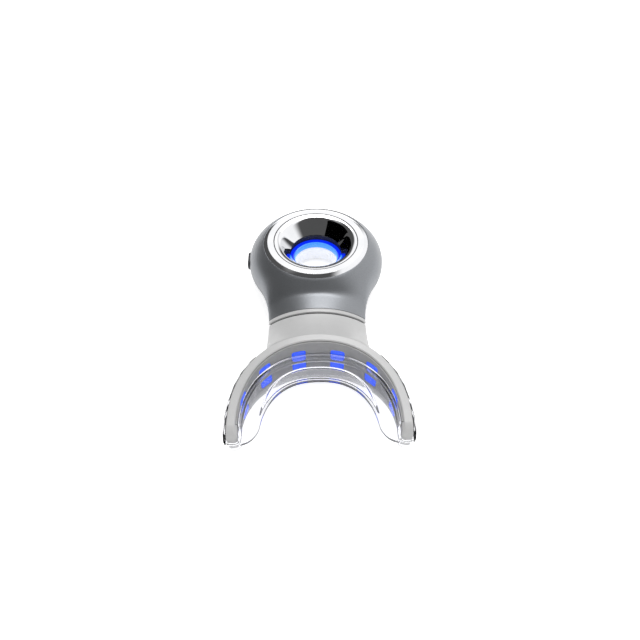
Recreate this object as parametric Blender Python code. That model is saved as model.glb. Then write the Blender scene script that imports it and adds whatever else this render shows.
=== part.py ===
"""A cordless tooth whitening handpiece with a U-shaped light mouthpiece, piece by piece.

The table is the plane z = 0. The head is toward +Y and the mouth side toward -Y. A length called
reach is measured from the head's centre toward the mouth, and one called rise is measured up from
the parting plane between the two housings. Along the U, arc is the distance from its middle and
offset is the distance outward from the face of the light panel.
"""

import math

import bmesh
import bpy
import numpy as np
from mathutils import Vector

# Clearances, in metres like every size here
GAP = 0.0003
PARTING_GAP = 0.0003
OVERRUN = 0.0010
WELD_DISTANCE = 0.00001

# Light guide round the finger hole
GUIDE_BORE_RADIUS = 0.0090
GUIDE_FACE_WIDTH = 0.0022
GUIDE_TOP_RISE = 0.0019
GUIDE_BOTTOM_DROP = 0.0007
GUIDE_FLANGE_WIDTH = 0.0030
GUIDE_FLANGE_RISE = 0.0004
SEAL_WIDTH = 0.0014
SEAL_CHAMFER = 0.0003

# Bright bowl in the top of the head, from the light guide outward
BOWL_THROAT_OVERHANG = 0.0005
BOWL_FLARE_WIDTH = 0.0037
BOWL_LIP_WIDTH = 0.0027
BOWL_FLAT_WIDTH = 0.0028
BOWL_EDGE_WIDTH = 0.0017
BOWL_TOP_RISE = 0.0113
BOWL_EDGE_DROP = 0.0008
BOWL_LIP_DROP = 0.0012
BOWL_THROAT_RISE = 0.0050
BOWL_THROAT_THICKNESS = 0.0006
BOWL_THICKNESS = 0.0012
BOWL_SKIRT = 0.0012
BOWL_SEAT_DEPTH = 0.0031

# Head and neck
SHOULDER_WIDTH = 0.0068
HEAD_HALF_HEIGHT = 0.0165
NECK_HALF_WIDTH = 0.0186
NECK_HALF_HEIGHT = 0.0072
NECK_LENGTH = 0.0055
NECK_PARALLEL_RUN = 0.0021
HOUSING_WALL = 0.0018
MID_HEIGHT = 0.0115
HEAD_SECTION_SHARE = 0.49
NECK_ROUND_SHARE = 0.15
PILL_ROUND_SHARE = 0.98
HEIGHT_BLEND_POWER = 8

# Ledges and screw bosses inside the housings
LEDGE_THICKNESS = 0.0018
LEDGE_EDGE = 0.0002
LEDGE_OVERLAP = 0.0004
BOSS_RADIUS = 0.0021
SCREW_RADIUS = 0.00095
SCREW_HEAD_RADIUS = 0.0017
SCREW_HEAD_HEIGHT = 0.0013
SCREW_DEPTH = 0.0050
SCREW_SLOT_RADIUS = 0.0009
SCREW_SLOT_DEPTH = 0.0007
SCREW_COUNT = 4

# Sleeve below the light guide, from its top down
SLEEVE_TOP_STEP = 0.0002
SLEEVE_UPPER_STEP = 0.0002
SLEEVE_MIDDLE_STEP = 0.0009
SLEEVE_LOWER_STEP = 0.0003
SLEEVE_END_STEP = 0.0004
SLEEVE_UPPER_LENGTH = 0.0012
SLEEVE_MIDDLE_LENGTH = 0.0021
SLEEVE_LOWER_LENGTH = 0.0026
SLEEVE_WALL = 0.0013

# Board in the head
BOARD_SET_BACK = 0.0054
BOARD_TOP_DROP = 0.0020
BOARD_THICKNESS = 0.0010
LAMP_LENGTH = 0.0020
LAMP_WIDTH = 0.0012
LAMP_HEIGHT = 0.0007
LAMP_COUNT = 6

# Ring that the head rests on
FOOT_DEPTH = 0.0041
FOOT_BEVEL_WIDTH = 0.0012
FOOT_BEVEL_HEIGHT = 0.0011
FOOT_FLARE_WIDTH = 0.0028
FOOT_LIP_HEIGHT = 0.0022
FOOT_WALL = 0.0013

# Side button and the switch behind it
BUTTON_LENGTH = 0.0086
BUTTON_HEIGHT = 0.0044
BUTTON_PROUD = 0.0006
BUTTON_DEPTH = 0.0043
BUTTON_FLANGE = 0.0008
BUTTON_FLANGE_THICKNESS = 0.0008
BUTTON_STEM_RADIUS = 0.0012
BUTTON_STEM_LENGTH = 0.0027
BUTTON_EDGE = 0.0005
BUTTON_TRAVEL = 0.0004
PLUNGER_RADIUS = 0.0008
PLUNGER_LENGTH = 0.0019
SWITCH_LENGTH = 0.0046
SWITCH_DEPTH = 0.0030
SWITCH_HEIGHT = 0.0039
SWITCH_CHAMFER = 0.0004

# Charging socket at the rear of the head
SOCKET_WIDTH = 0.0089
SOCKET_HEIGHT = 0.0032
SOCKET_LENGTH = 0.0073
SOCKET_SHELL = 0.0003
SOCKET_POCKET = 0.0060
SOCKET_SET_BACK = 0.0008
TONGUE_WIDTH = 0.0067
TONGUE_THICKNESS = 0.0007
TONGUE_LENGTH = 0.0045

# Cell and its cradle in the neck
CELL_HALF_WIDTH = 0.0105
CELL_LENGTH = 0.0100
CELL_THICKNESS = 0.0046
CELL_ROUND = 0.0012
CELL_CLEARANCE = 0.0002
CRADLE_THICKNESS = 0.0012
CRADLE_SHARES = (0.72, 0.95)
CRADLE_WIDTH_SHARE = 0.6

# Band, sleeve, contacts and plug at the seam
BAND_LENGTH = 0.0015
BAND_SLEEVE_WALL = 0.0010
BAND_SLEEVE_LENGTH = 0.0062
CONTACT_BLOCK_LENGTH = 0.0018
PIN_RADIUS = 0.0006
PIN_PROUD = 0.0009
PIN_TAIL = 0.0006
PIN_PITCH = 0.0030
PIN_COUNT = 4
GASKET_THICKNESS = 0.0004
GASKET_INSET = 0.0006
PLUG_WALL = 0.0014
PLUG_BOARD_THICKNESS = 0.0008
PLUG_BORE_DEPTH = 0.0016

# U-shaped wall
ARCH_HALF_WIDTH = 0.0263
ARCH_DEPTH = 0.0270
ARCH_POWER = 2.2
ARM_LENGTH = 0.0056
ARCH_WALL = 0.0034
RIM_TOP_FRONT = 0.0112
RIM_TOP_ARM = 0.0057
RIM_BOTTOM_ARM = 0.0044
RIM_TOP_POWER = 0.9
RIM_BOTTOM_POWER = 1.3
RIM_FLAT_ARC = 0.0180
RIM_BEVEL = 0.0008
RIM_INNER_BEVEL_HEIGHT = 0.0010
RIM_EDGE = 0.0005
TIP_ROUND = 0.0040
TIP_CORNER = 0.0009
TIP_HEIGHT_SHARE = 0.35

# Collar between the seam and the wall
COLLAR_EDGE_INSET = 0.0001
COLLAR_END_HALF_WIDTH = 0.0192
COLLAR_END_RISE = 0.0104
COLLAR_FLARE_POWER = 1.6
COLLAR_ROUND_SHARE = 0.9
COLLAR_LENGTH = 0.0127
COLLAR_WALL = 0.0020
COLLAR_WEB = 0.0016
COLLAR_BURY = 0.0012

# Light panel, windows and flexible board in the wall
POCKET_DEPTH = 0.0022
POCKET_MARGIN = 0.0004
POCKET_END = 0.0042
PANEL_THICKNESS = 0.0010
FLEX_THICKNESS = 0.0004
FLEX_MARGIN = 0.0006
FLEX_TAIL_HALF_WIDTH = 0.0040
DUCT_HALF_WIDTH = 0.0050
DUCT_HALF_HEIGHT = 0.0012
WINDOW_WIDTH = 0.0045
WINDOW_HEIGHT = 0.0052
WINDOW_CORNER = 0.0009
WINDOW_THICKNESS = 0.0011
WINDOW_FIRST_ARC = 0.0069
WINDOW_PITCH = 0.0134
WINDOW_ROW_RISE = 0.0034
WINDOW_ROW_SPACING = 0.0067
WINDOW_END_DROP = 0.0005
WINDOW_COLUMNS_PER_SIDE = 3

# Clear bite tray
SKIN = 0.0009
SKIN_DROP = 0.0016
SKIN_START_ARC = 0.0205
TIP_SKIN_RISE = 0.0021
FRONT_WALL_RISE = 0.0044
PLATE_RISE = 0.00025
PLATE_THICKNESS = 0.0012
PLATE_FRONT_WIDTH = 0.0096
PLATE_ARM_WIDTH = 0.0062
PLATE_WIDTH_ARC = 0.0460
PLATE_WIDTH_POWER = 2.2
PLATE_END_ARC = 0.0486
PLATE_END_ROUND = 0.0057
PLATE_NOSE = 0.0004
PLATE_END_SHARE = 0.98
TONGUE_WALL_THICKNESS = 0.0010
TONGUE_WALL_SET_BACK = 0.0009
TONGUE_WALL_RISE = 0.0070
TONGUE_WALL_ARC = 0.0375
TONGUE_WALL_POWER = 3.5

# Counts of sides and stations
ROUND_SEGMENTS = 32
SMALL_SEGMENTS = 10
CORNER_SEGMENTS = 2
PILL_SEGMENTS = 3
HOLE_SEGMENTS = 8
HEX_SIDES = 6
INNER_RING = 24
TIP_STATIONS = 4
ARCH_SAMPLES = 400
ARCH_STATIONS = 36
HOUSING_RING = 28
HOUSING_REAR_STATIONS = 8
HOUSING_FRONT_STATIONS = 10
COLLAR_STATIONS = 8

# Radii of the head, from the finger hole outward
GUIDE_RADIUS = GUIDE_BORE_RADIUS + GUIDE_FACE_WIDTH
GUIDE_FLANGE_RADIUS = GUIDE_RADIUS + GUIDE_FLANGE_WIDTH
BOWL_THROAT_RADIUS = GUIDE_RADIUS - BOWL_THROAT_OVERHANG
LIP_INNER_RADIUS = BOWL_THROAT_RADIUS + BOWL_FLARE_WIDTH
LIP_OUTER_RADIUS = LIP_INNER_RADIUS + BOWL_LIP_WIDTH
BOWL_CROWN_RADIUS = LIP_OUTER_RADIUS + BOWL_FLAT_WIDTH
TRIM_RADIUS = BOWL_CROWN_RADIUS + BOWL_EDGE_WIDTH
HEAD_RADIUS = TRIM_RADIUS + SHOULDER_WIDTH
SLEEVE_TOP_RADIUS = GUIDE_BORE_RADIUS + SLEEVE_TOP_STEP
SLEEVE_UPPER_RADIUS = SLEEVE_TOP_RADIUS + SLEEVE_UPPER_STEP
SLEEVE_MIDDLE_RADIUS = SLEEVE_UPPER_RADIUS + SLEEVE_MIDDLE_STEP
SLEEVE_LOWER_RADIUS = SLEEVE_MIDDLE_RADIUS + SLEEVE_LOWER_STEP
SLEEVE_END_RADIUS = SLEEVE_LOWER_RADIUS + SLEEVE_END_STEP
FOOT_BEVEL_RADIUS = TRIM_RADIUS - FOOT_BEVEL_WIDTH
FOOT_INNER_RADIUS = SLEEVE_END_RADIUS + FOOT_FLARE_WIDTH
BOSS_CIRCLE_RADIUS = TRIM_RADIUS - FOOT_WALL - GAP - SCREW_HEAD_RADIUS
LEDGE_INNER_RADIUS = BOSS_CIRCLE_RADIUS - SCREW_HEAD_RADIUS - LEDGE_EDGE
SCREW_HOLE_RADIUS = SCREW_RADIUS + GAP
BOARD_RADIUS = HEAD_RADIUS - BOARD_SET_BACK

# Rises in the head
BOWL_EDGE_RISE = BOWL_TOP_RISE - BOWL_EDGE_DROP
LIP_INNER_RISE = BOWL_TOP_RISE - BOWL_LIP_DROP
UPPER_LEDGE_RISE = BOWL_EDGE_RISE - BOWL_SEAT_DEPTH
LOWER_LEDGE_DROP = MID_HEIGHT - FOOT_DEPTH
SLEEVE_UPPER_DROP = GUIDE_BOTTOM_DROP + GAP + SLEEVE_UPPER_LENGTH
SLEEVE_MIDDLE_DROP = SLEEVE_UPPER_DROP + SLEEVE_MIDDLE_LENGTH
SLEEVE_LOWER_DROP = SLEEVE_MIDDLE_DROP + SLEEVE_LOWER_LENGTH
SLEEVE_END_DROP = MID_HEIGHT - FOOT_LIP_HEIGHT
SOCKET_MIDDLE = SOCKET_HEIGHT / 2 + GAP - BOARD_TOP_DROP

# Reaches along the neck, the seam and the collar
HEAD_SECTION_REACH = HEAD_RADIUS * HEAD_SECTION_SHARE
NECK_REACH = HEAD_RADIUS + NECK_LENGTH
NECK_PARALLEL_REACH = NECK_REACH + NECK_PARALLEL_RUN
BAND_REACH = NECK_REACH + GAP
BAND_END_REACH = BAND_REACH + BAND_LENGTH
GASKET_REACH = BAND_END_REACH + GAP
COLLAR_REACH = GASKET_REACH + GASKET_THICKNESS + GAP
ARCH_REACH = COLLAR_REACH + COLLAR_LENGTH + ARCH_WALL
ARM_TIP_REACH = ARCH_REACH + ARCH_DEPTH + ARM_LENGTH + GAP + SKIN
HEAD_Y = (ARM_TIP_REACH - HEAD_RADIUS) / 2
SOCKET_MOUTH_Y = HEAD_Y + HEAD_RADIUS - SOCKET_SET_BACK
SLEEVE_INSET = HOUSING_WALL + GAP
BLOCK_INSET = SLEEVE_INSET + BAND_SLEEVE_WALL + GAP
SLEEVE_REACH = BAND_REACH - BAND_SLEEVE_LENGTH
CELL_REACH = SLEEVE_REACH - PIN_TAIL - CELL_CLEARANCE - CELL_LENGTH
PIN_TIP_REACH = SLEEVE_REACH + CONTACT_BLOCK_LENGTH + PIN_PROUD
PLUG_REACH = PIN_TIP_REACH + GAP
BORE_INSET = BLOCK_INSET + PLUG_WALL
TONGUE_TOP = PLATE_RISE + PLATE_THICKNESS / 2

# Places of the side button and its switch
BUTTON_FACE_X = -(HEAD_RADIUS + BUTTON_PROUD)
BUTTON_FLANGE_X = BUTTON_FACE_X + BUTTON_DEPTH
BUTTON_STEM_X = BUTTON_FLANGE_X + BUTTON_FLANGE_THICKNESS
PLUNGER_X = BUTTON_STEM_X + BUTTON_STEM_LENGTH + GAP
SWITCH_X = PLUNGER_X + BUTTON_TRAVEL + GAP


def y_at(reach):
    return HEAD_Y - reach


def z_at(rise):
    return MID_HEIGHT + rise


# Making objects

def material(name, colour, roughness, metallic=0.0, transmission=0.0):
    """A plain finish: base colour, roughness and metallic value."""
    made = bpy.data.materials.new(name)
    made.use_nodes = True
    shader = made.node_tree.nodes["Principled BSDF"]
    shader.inputs["Base Color"].default_value = (*colour, 1.0)
    shader.inputs["Roughness"].default_value = roughness
    shader.inputs["Metallic"].default_value = metallic
    shader.inputs["Transmission Weight"].default_value = transmission
    return made


def add_object(name, shape, finish=None, sharp_degrees=35):
    """Turn a bmesh into a named object, with its faces pointing out."""
    bmesh.ops.recalc_face_normals(shape, faces=shape.faces)
    mesh = bpy.data.meshes.new(name)
    shape.to_mesh(mesh)
    shape.free()
    mesh.shade_smooth()
    mesh.set_sharp_from_angle(angle=math.radians(sharp_degrees))
    made = bpy.data.objects.new(name, mesh)
    bpy.context.scene.collection.objects.link(made)
    if finish:
        made.data.materials.append(finish)
    return made


def add_cutter(name, shape):
    """A guide solid that only shapes other pieces."""
    made = add_object(name, shape)
    made.hide_render = True
    made.display_type = 'WIRE'
    return made


def combine(target, cutter, operation):
    step = target.modifiers.new(cutter.name, 'BOOLEAN')
    step.operation = operation
    step.solver = 'EXACT'
    step.object = cutter


def cut(target, *cutters):
    for cutter in cutters:
        combine(target, cutter, 'DIFFERENCE')


def fuse(target, *others):
    for other in others:
        combine(target, other, 'UNION')


def weld(*targets):
    """Close the hair-fine slivers that cuts leave."""
    for target in targets:
        step = target.modifiers.new("weld", 'WELD')
        step.merge_threshold = WELD_DISTANCE


def place_origin(target, point):
    """Move an object's origin to a point and leave its surface where it is."""
    for vertex in target.data.vertices:
        vertex.co -= point
    target.location = point


# Shapes

def loft(rings):
    """A closed solid through rings of equally many points, with both ends capped."""
    shape = bmesh.new()
    rows = [[shape.verts.new(point) for point in ring] for ring in rings]
    for near, far in zip(rows, rows[1:]):
        for index in range(len(near)):
            following = (index + 1) % len(near)
            shape.faces.new((near[index], near[following], far[following], far[index]))
    shape.faces.new(rows[0])
    shape.faces.new(rows[-1])
    return shape


def revolve(profile, segments=ROUND_SEGMENTS, x=0.0, y=HEAD_Y):
    """A turned solid from a closed outline of radius and rise, about an upright axis."""
    shape = bmesh.new()
    corners = [shape.verts.new((x + radius, y, z_at(rise))) for radius, rise in profile]
    edges = [shape.edges.new((corners[i - 1], corners[i])) for i in range(len(corners))]
    bmesh.ops.spin(shape, geom=corners + edges, cent=(x, y, 0), axis=(0, 0, 1),
                   angle=math.tau, steps=segments, use_merge=True)
    bmesh.ops.remove_doubles(shape, verts=shape.verts, dist=WELD_DISTANCE)
    return shape


def rod(radius, low, high, x, y, segments=SMALL_SEGMENTS, phase_share=0.5):
    """An upright round bar between two rises. The phase turns its flats by a share of one side."""
    shape = bmesh.new()
    turns = [math.tau * (step + phase_share) / segments for step in range(segments)]
    ring = [(x + radius * math.cos(turn), y + radius * math.sin(turn)) for turn in turns]
    return extrude_up(shape, ring, low, high)


def extrude_up(shape, ring, low, high):
    face = shape.faces.new([shape.verts.new((x, y, z_at(low))) for x, y in ring])
    raised = bmesh.ops.extrude_face_region(shape, geom=[face])
    moved = [part for part in raised["geom"] if isinstance(part, bmesh.types.BMVert)]
    bmesh.ops.translate(shape, verts=moved, vec=(0, 0, high - low))
    return shape


def prism(ring, low, high):
    return extrude_up(bmesh.new(), ring, low, high)


def slab(x_low, x_high, y_low, y_high, low, high):
    ring = [(x_low, y_low), (x_high, y_low), (x_high, y_high), (x_low, y_high)]
    return prism(ring, low, high)


def rounded_outline(width, height, corner, segments=CORNER_SEGMENTS):
    """Corner-rounded rectangle about zero, as pairs of across and up."""
    points = []
    for quarter in range(4):
        turn = quarter * math.pi / 2
        across = (width / 2 - corner) * (1 if quarter in (0, 3) else -1)
        up = (height / 2 - corner) * (1 if quarter < 2 else -1)
        for step in range(segments + 1):
            angle = turn + step * math.pi / 2 / segments
            points.append((across + corner * math.cos(angle), up + corner * math.sin(angle)))
    return points


# Form of the head and the neck

def lens_rise(x, half_width, half_height):
    """Height of a circular arc that spans the width and rises to the half height."""
    radius = (half_width ** 2 + half_height ** 2) / (2 * half_height)
    return math.sqrt(max(radius ** 2 - x ** 2, 0)) - (radius - half_height)


def body_ring(reach, half_width, half_height, round_share, count=HOUSING_RING):
    """Closed section across the body: part ellipse, part lens with an edge at the parting plane."""
    points = []
    for step in range(count):
        turn = math.tau * step / count
        x = half_width * math.cos(turn)
        rise = round_share * half_height * abs(math.sin(turn))
        if round_share < 1:
            rise += (1 - round_share) * lens_rise(x, half_width, half_height)
        if step * 2 in (0, count):
            rise = 0
        points.append(Vector((x, y_at(reach), z_at(math.copysign(rise, math.sin(turn))))))
    return points


def lens_ring(reach, inset, count=HOUSING_RING):
    """Section of the neck at the seam, drawn in by an inset."""
    return body_ring(reach, NECK_HALF_WIDTH - inset, NECK_HALF_HEIGHT - inset, NECK_ROUND_SHARE, count)


def lens_bar(start, end, inset, count=HOUSING_RING):
    return loft([lens_ring(start, inset, count), lens_ring(end, inset, count)])


def plan_half_width(reach, inset):
    """Head circle that runs into a hollow arc down to the parallel neck."""
    both = (NECK_PARALLEL_REACH ** 2 / (HEAD_RADIUS - NECK_HALF_WIDTH) - HEAD_RADIUS - NECK_HALF_WIDTH)
    hollow = both / 2
    tangent_reach = HEAD_RADIUS * NECK_PARALLEL_REACH / (HEAD_RADIUS + hollow)
    if reach < tangent_reach:
        radius = HEAD_RADIUS - inset
        return math.sqrt(max(radius ** 2 - reach ** 2, 0))
    run = NECK_PARALLEL_REACH - reach
    return NECK_HALF_WIDTH + hollow - math.sqrt((hollow + inset) ** 2 - run ** 2)


def half_height_at(reach, inset):
    """Flattened head that runs smoothly into the thinner neck."""
    radius = HEAD_RADIUS - inset
    head = (HEAD_HALF_HEIGHT - inset) * math.sqrt(max(1 - (reach / radius) ** 2, 0))
    if reach <= 0:
        return head
    neck = NECK_HALF_HEIGHT - inset
    power = HEIGHT_BLEND_POWER
    fade = min(reach / HEAD_SECTION_REACH, 1)
    return (head ** power + (fade * neck) ** power) ** (1 / power)


def round_share_at(reach):
    """Fully round across the head, nearly a lens at the neck."""
    run = (reach - HEAD_SECTION_REACH) / (NECK_REACH - HEAD_SECTION_REACH)
    run = min(max(run, 0), 1)
    smooth = run * run * (3 - 2 * run)
    return 1 - (1 - NECK_ROUND_SHARE) * smooth


def body_solid(inset, end_reach, count=HOUSING_RING):
    """Head and neck as one solid, drawn in by an inset."""
    radius = HEAD_RADIUS - inset
    rear = [-radius * math.cos(math.pi / 2 * (step + 0.5) / HOUSING_REAR_STATIONS)
            for step in range(HOUSING_REAR_STATIONS)]
    front = [end_reach * step / HOUSING_FRONT_STATIONS for step in range(HOUSING_FRONT_STATIONS + 1)]
    rings = [body_ring(reach, plan_half_width(reach, inset), half_height_at(reach, inset),
                       round_share_at(reach), count) for reach in rear + front]
    return loft(rings)


def boss_places():
    turns = [math.tau * (step + 0.5) / SCREW_COUNT for step in range(SCREW_COUNT)]
    return [(BOSS_CIRCLE_RADIUS * math.cos(turn), HEAD_Y + BOSS_CIRCLE_RADIUS * math.sin(turn))
            for turn in turns]


def pill_bar(length, height, x_low, x_high, y, rise, segments=PILL_SEGMENTS):
    """A bar along X with a round-ended section across it."""
    outline = rounded_outline(length, height, height / 2 * PILL_ROUND_SHARE, segments)
    return loft([[Vector((x, y + across, z_at(rise + up))) for across, up in outline]
                 for x in (x_low, x_high)])


def button_cutter():
    length = BUTTON_LENGTH + 2 * GAP
    height = BUTTON_HEIGHT + 2 * GAP
    outside = -(HEAD_RADIUS + BUTTON_PROUD + OVERRUN)
    inside = -(HEAD_RADIUS - HOUSING_WALL - OVERRUN)
    return add_cutter("guide_button_hole", pill_bar(length, height, outside, inside, HEAD_Y, 0))


def socket_ring(width, height, y):
    rise = SOCKET_MIDDLE
    outline = rounded_outline(width, height, height / 2 * PILL_ROUND_SHARE, PILL_SEGMENTS)
    return [Vector((across, y, z_at(rise + up))) for across, up in outline]


def socket_cutter():
    width = SOCKET_WIDTH + 2 * GAP
    height = SOCKET_HEIGHT + 2 * GAP
    outside = HEAD_Y + HEAD_RADIUS + OVERRUN
    inside = HEAD_Y + HEAD_RADIUS - HOUSING_WALL - OVERRUN
    rings = [socket_ring(width, height, y) for y in (outside, inside)]
    return add_cutter("guide_socket_hole", loft(rings))


# Housings

def half_space(name, low, high):
    reach = 2 * HEAD_RADIUS
    return add_cutter(name, slab(-reach, reach, HEAD_Y - reach, HEAD_Y + reach, low, high))


def mid_wall_radius(rise):
    """Radius of the middle of the head's wall at a rise."""
    inset = HOUSING_WALL / 2
    share = rise / (HEAD_HALF_HEIGHT - inset)
    return (HEAD_RADIUS - inset) * math.sqrt(1 - share * share)


def ledge_ring(side, seat):
    """A ring that runs out into the wall. The recess above cuts it down to the seat for a trim."""
    under = seat - LEDGE_THICKNESS
    top = seat + LEDGE_OVERLAP
    return revolve([(LEDGE_INNER_RADIUS, side * under), (mid_wall_radius(under), side * under),
                    (mid_wall_radius(top), side * top), (LEDGE_INNER_RADIUS, side * top)])


def housing(name, side, finish):
    """One moulded shell: side is 1 for the upper and -1 for the lower."""
    shell = add_object(name, body_solid(0, NECK_REACH), finish)
    cavity = add_cutter(f"guide_{name}_cavity", body_solid(HOUSING_WALL, NECK_REACH + OVERRUN, INNER_RING))
    span = 2 * HEAD_RADIUS
    edge = PARTING_GAP / 2
    half = half_space(f"guide_{name}_half", *sorted((side * edge, side * span)))
    cut(shell, cavity)
    combine(shell, half, 'INTERSECT')
    seat = UPPER_LEDGE_RISE if side > 0 else LOWER_LEDGE_DROP
    fuse(shell, add_cutter(f"guide_{name}_ledge", ledge_ring(side, seat)))
    board_top = -BOARD_TOP_DROP + GAP
    board_under = -BOARD_TOP_DROP - BOARD_THICKNESS - GAP
    bury = LEDGE_THICKNESS / 2
    low, high = (board_top, seat - bury) if side > 0 else (-seat + bury, board_under)
    for index, (x, y) in enumerate(boss_places()):
        fuse(shell, add_cutter(f"guide_{name}_boss_{index + 1}", rod(BOSS_RADIUS, low, high, x, y)))
    tall = HEAD_HALF_HEIGHT + OVERRUN
    low, high = sorted((side * seat, side * tall))
    recess = rod(TRIM_RADIUS + GAP, low, high, 0, HEAD_Y, ROUND_SEGMENTS, 0)
    cut(shell, add_cutter(f"guide_{name}_recess", recess))
    if side > 0:
        low, high = board_top - OVERRUN, board_top + SCREW_DEPTH
    else:
        low, high = -seat - OVERRUN, board_under + OVERRUN
    for index, (x, y) in enumerate(boss_places()):
        pilot = rod(SCREW_HOLE_RADIUS, low, high, x, y, HOLE_SEGMENTS)
        cut(shell, add_cutter(f"guide_{name}_pilot_{index + 1}", pilot))
    return shell


def cradle_rib(index, share):
    """A rib across the lower housing that carries the cell."""
    middle = CELL_REACH + share * CELL_LENGTH
    low = -half_height_at(middle, HOUSING_WALL * 2 / 3)
    high = -BOARD_TOP_DROP
    near = y_at(middle + CRADLE_THICKNESS / 2)
    far = y_at(middle - CRADLE_THICKNESS / 2)
    half = CELL_HALF_WIDTH * CRADLE_WIDTH_SHARE
    return add_cutter(f"guide_cradle_{index + 1}", slab(-half, half, near, far, low, high))


def housings(finish):
    upper = housing("upper_housing", 1, finish)
    lower = housing("lower_housing", -1, finish)
    for index, share in enumerate(CRADLE_SHARES):
        fuse(lower, cradle_rib(index, share))
    for shell in (upper, lower):
        cut(shell, button_hole, socket_hole)
    weld(upper, lower)


# Trims round the finger hole

def top_bowl_trim(finish):
    seat = UPPER_LEDGE_RISE + GAP
    under = BOWL_THROAT_RISE - BOWL_THROAT_THICKNESS
    back = LIP_INNER_RADIUS + BOWL_THICKNESS
    hollow = LIP_INNER_RISE - BOWL_THICKNESS + GAP
    profile = [
        (TRIM_RADIUS, BOWL_EDGE_RISE), (BOWL_CROWN_RADIUS, BOWL_TOP_RISE), (LIP_OUTER_RADIUS, BOWL_TOP_RISE),
        ((2 * LIP_INNER_RADIUS + LIP_OUTER_RADIUS) / 3, (LIP_INNER_RISE + 2 * BOWL_TOP_RISE) / 3),
        (LIP_INNER_RADIUS, LIP_INNER_RISE), (BOWL_THROAT_RADIUS, BOWL_THROAT_RISE),
        (BOWL_THROAT_RADIUS, under), (BOWL_THROAT_RADIUS + BOWL_THICKNESS, under), (back, hollow),
        (TRIM_RADIUS - BOWL_SKIRT, hollow),
        (TRIM_RADIUS - BOWL_SKIRT, seat), (TRIM_RADIUS, seat)]
    return add_object("top_bowl_trim", revolve(profile), finish)


def foot_ring(finish):
    inner_top = SLEEVE_END_DROP + GAP
    inner_edge = SLEEVE_END_RADIUS + GAP
    roof = MID_HEIGHT - FOOT_WALL
    bevel = MID_HEIGHT - FOOT_BEVEL_HEIGHT
    seat = LOWER_LEDGE_DROP + GAP
    profile = [
        (TRIM_RADIUS, -seat), (TRIM_RADIUS, -bevel), (FOOT_BEVEL_RADIUS, -MID_HEIGHT),
        (FOOT_INNER_RADIUS, -MID_HEIGHT), (inner_edge, -inner_top), (inner_edge + FOOT_WALL, -inner_top),
        (FOOT_INNER_RADIUS + FOOT_WALL / 2, -roof), (FOOT_BEVEL_RADIUS - FOOT_WALL / 2, -roof),
        (TRIM_RADIUS - FOOT_WALL, -bevel + FOOT_WALL / 2), (TRIM_RADIUS - FOOT_WALL, -seat)]
    return add_object("foot_ring", revolve(profile), finish)


def guide_seal(finish):
    inner = GUIDE_RADIUS + GAP
    outer = inner + SEAL_WIDTH
    low = GUIDE_FLANGE_RISE + GAP
    top = BOWL_THROAT_RISE - BOWL_THROAT_THICKNESS - GAP
    profile = [
        (outer, low), (outer, top), (inner + SEAL_CHAMFER, top), (inner, top - SEAL_CHAMFER), (inner, low)]
    return add_object("guide_seal", revolve(profile), finish)


def light_guide_ring(finish):
    profile = [
        (GUIDE_RADIUS, GUIDE_TOP_RISE), (GUIDE_BORE_RADIUS + GAP / 2, GUIDE_TOP_RISE),
        (GUIDE_BORE_RADIUS, GUIDE_TOP_RISE - GAP / 2), (GUIDE_BORE_RADIUS, -GUIDE_BOTTOM_DROP),
        (GUIDE_FLANGE_RADIUS, -GUIDE_BOTTOM_DROP), (GUIDE_FLANGE_RADIUS, GUIDE_FLANGE_RISE),
        (GUIDE_RADIUS, GUIDE_FLANGE_RISE)]
    return add_object("light_guide_ring", revolve(profile), finish)


def throat_sleeve(finish):
    top = GUIDE_BOTTOM_DROP + GAP
    shoulder = BOARD_TOP_DROP + BOARD_THICKNESS + GAP
    neck = SLEEVE_UPPER_RADIUS + SLEEVE_WALL
    full = SLEEVE_END_RADIUS + SLEEVE_WALL
    profile = [
        (SLEEVE_TOP_RADIUS, -top), (SLEEVE_UPPER_RADIUS, -SLEEVE_UPPER_DROP),
        (SLEEVE_MIDDLE_RADIUS, -SLEEVE_MIDDLE_DROP), (SLEEVE_LOWER_RADIUS, -SLEEVE_LOWER_DROP),
        (SLEEVE_END_RADIUS, -SLEEVE_END_DROP), (full, -SLEEVE_END_DROP), (full, -shoulder - SLEEVE_WALL),
        (full - GAP, -shoulder), (neck, -shoulder), (neck, -top)]
    return add_object("throat_sleeve", revolve(profile), finish)


# Electronics in the head

def main_board(finish):
    bore = SLEEVE_UPPER_RADIUS + SLEEVE_WALL + GAP
    top = -BOARD_TOP_DROP
    under = top - BOARD_THICKNESS
    board = add_object("main_board", revolve([(bore, under), (BOARD_RADIUS, under),
                                              (BOARD_RADIUS, top), (bore, top)]), finish)
    for index, (x, y) in enumerate(boss_places()):
        hole = rod(SCREW_HOLE_RADIUS, under - OVERRUN, top + OVERRUN, x, y, HOLE_SEGMENTS)
        cut(board, add_cutter(f"guide_board_hole_{index + 1}", hole))
    return board


def ring_lamps(finish):
    low = -BOARD_TOP_DROP + GAP
    radius = GUIDE_FLANGE_RADIUS - LAMP_WIDTH
    for index in range(LAMP_COUNT):
        turn = math.tau * index / LAMP_COUNT + math.pi / 2
        outline = rounded_outline(LAMP_WIDTH, LAMP_LENGTH, LAMP_WIDTH / 6, 1)
        ring = []
        for out, along in outline:
            x = (radius + out) * math.cos(turn) - along * math.sin(turn)
            y = (radius + out) * math.sin(turn) + along * math.cos(turn)
            ring.append((x, HEAD_Y + y))
        add_object(f"ring_led_{index + 1}", prism(ring, low, low + LAMP_HEIGHT), finish)


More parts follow.
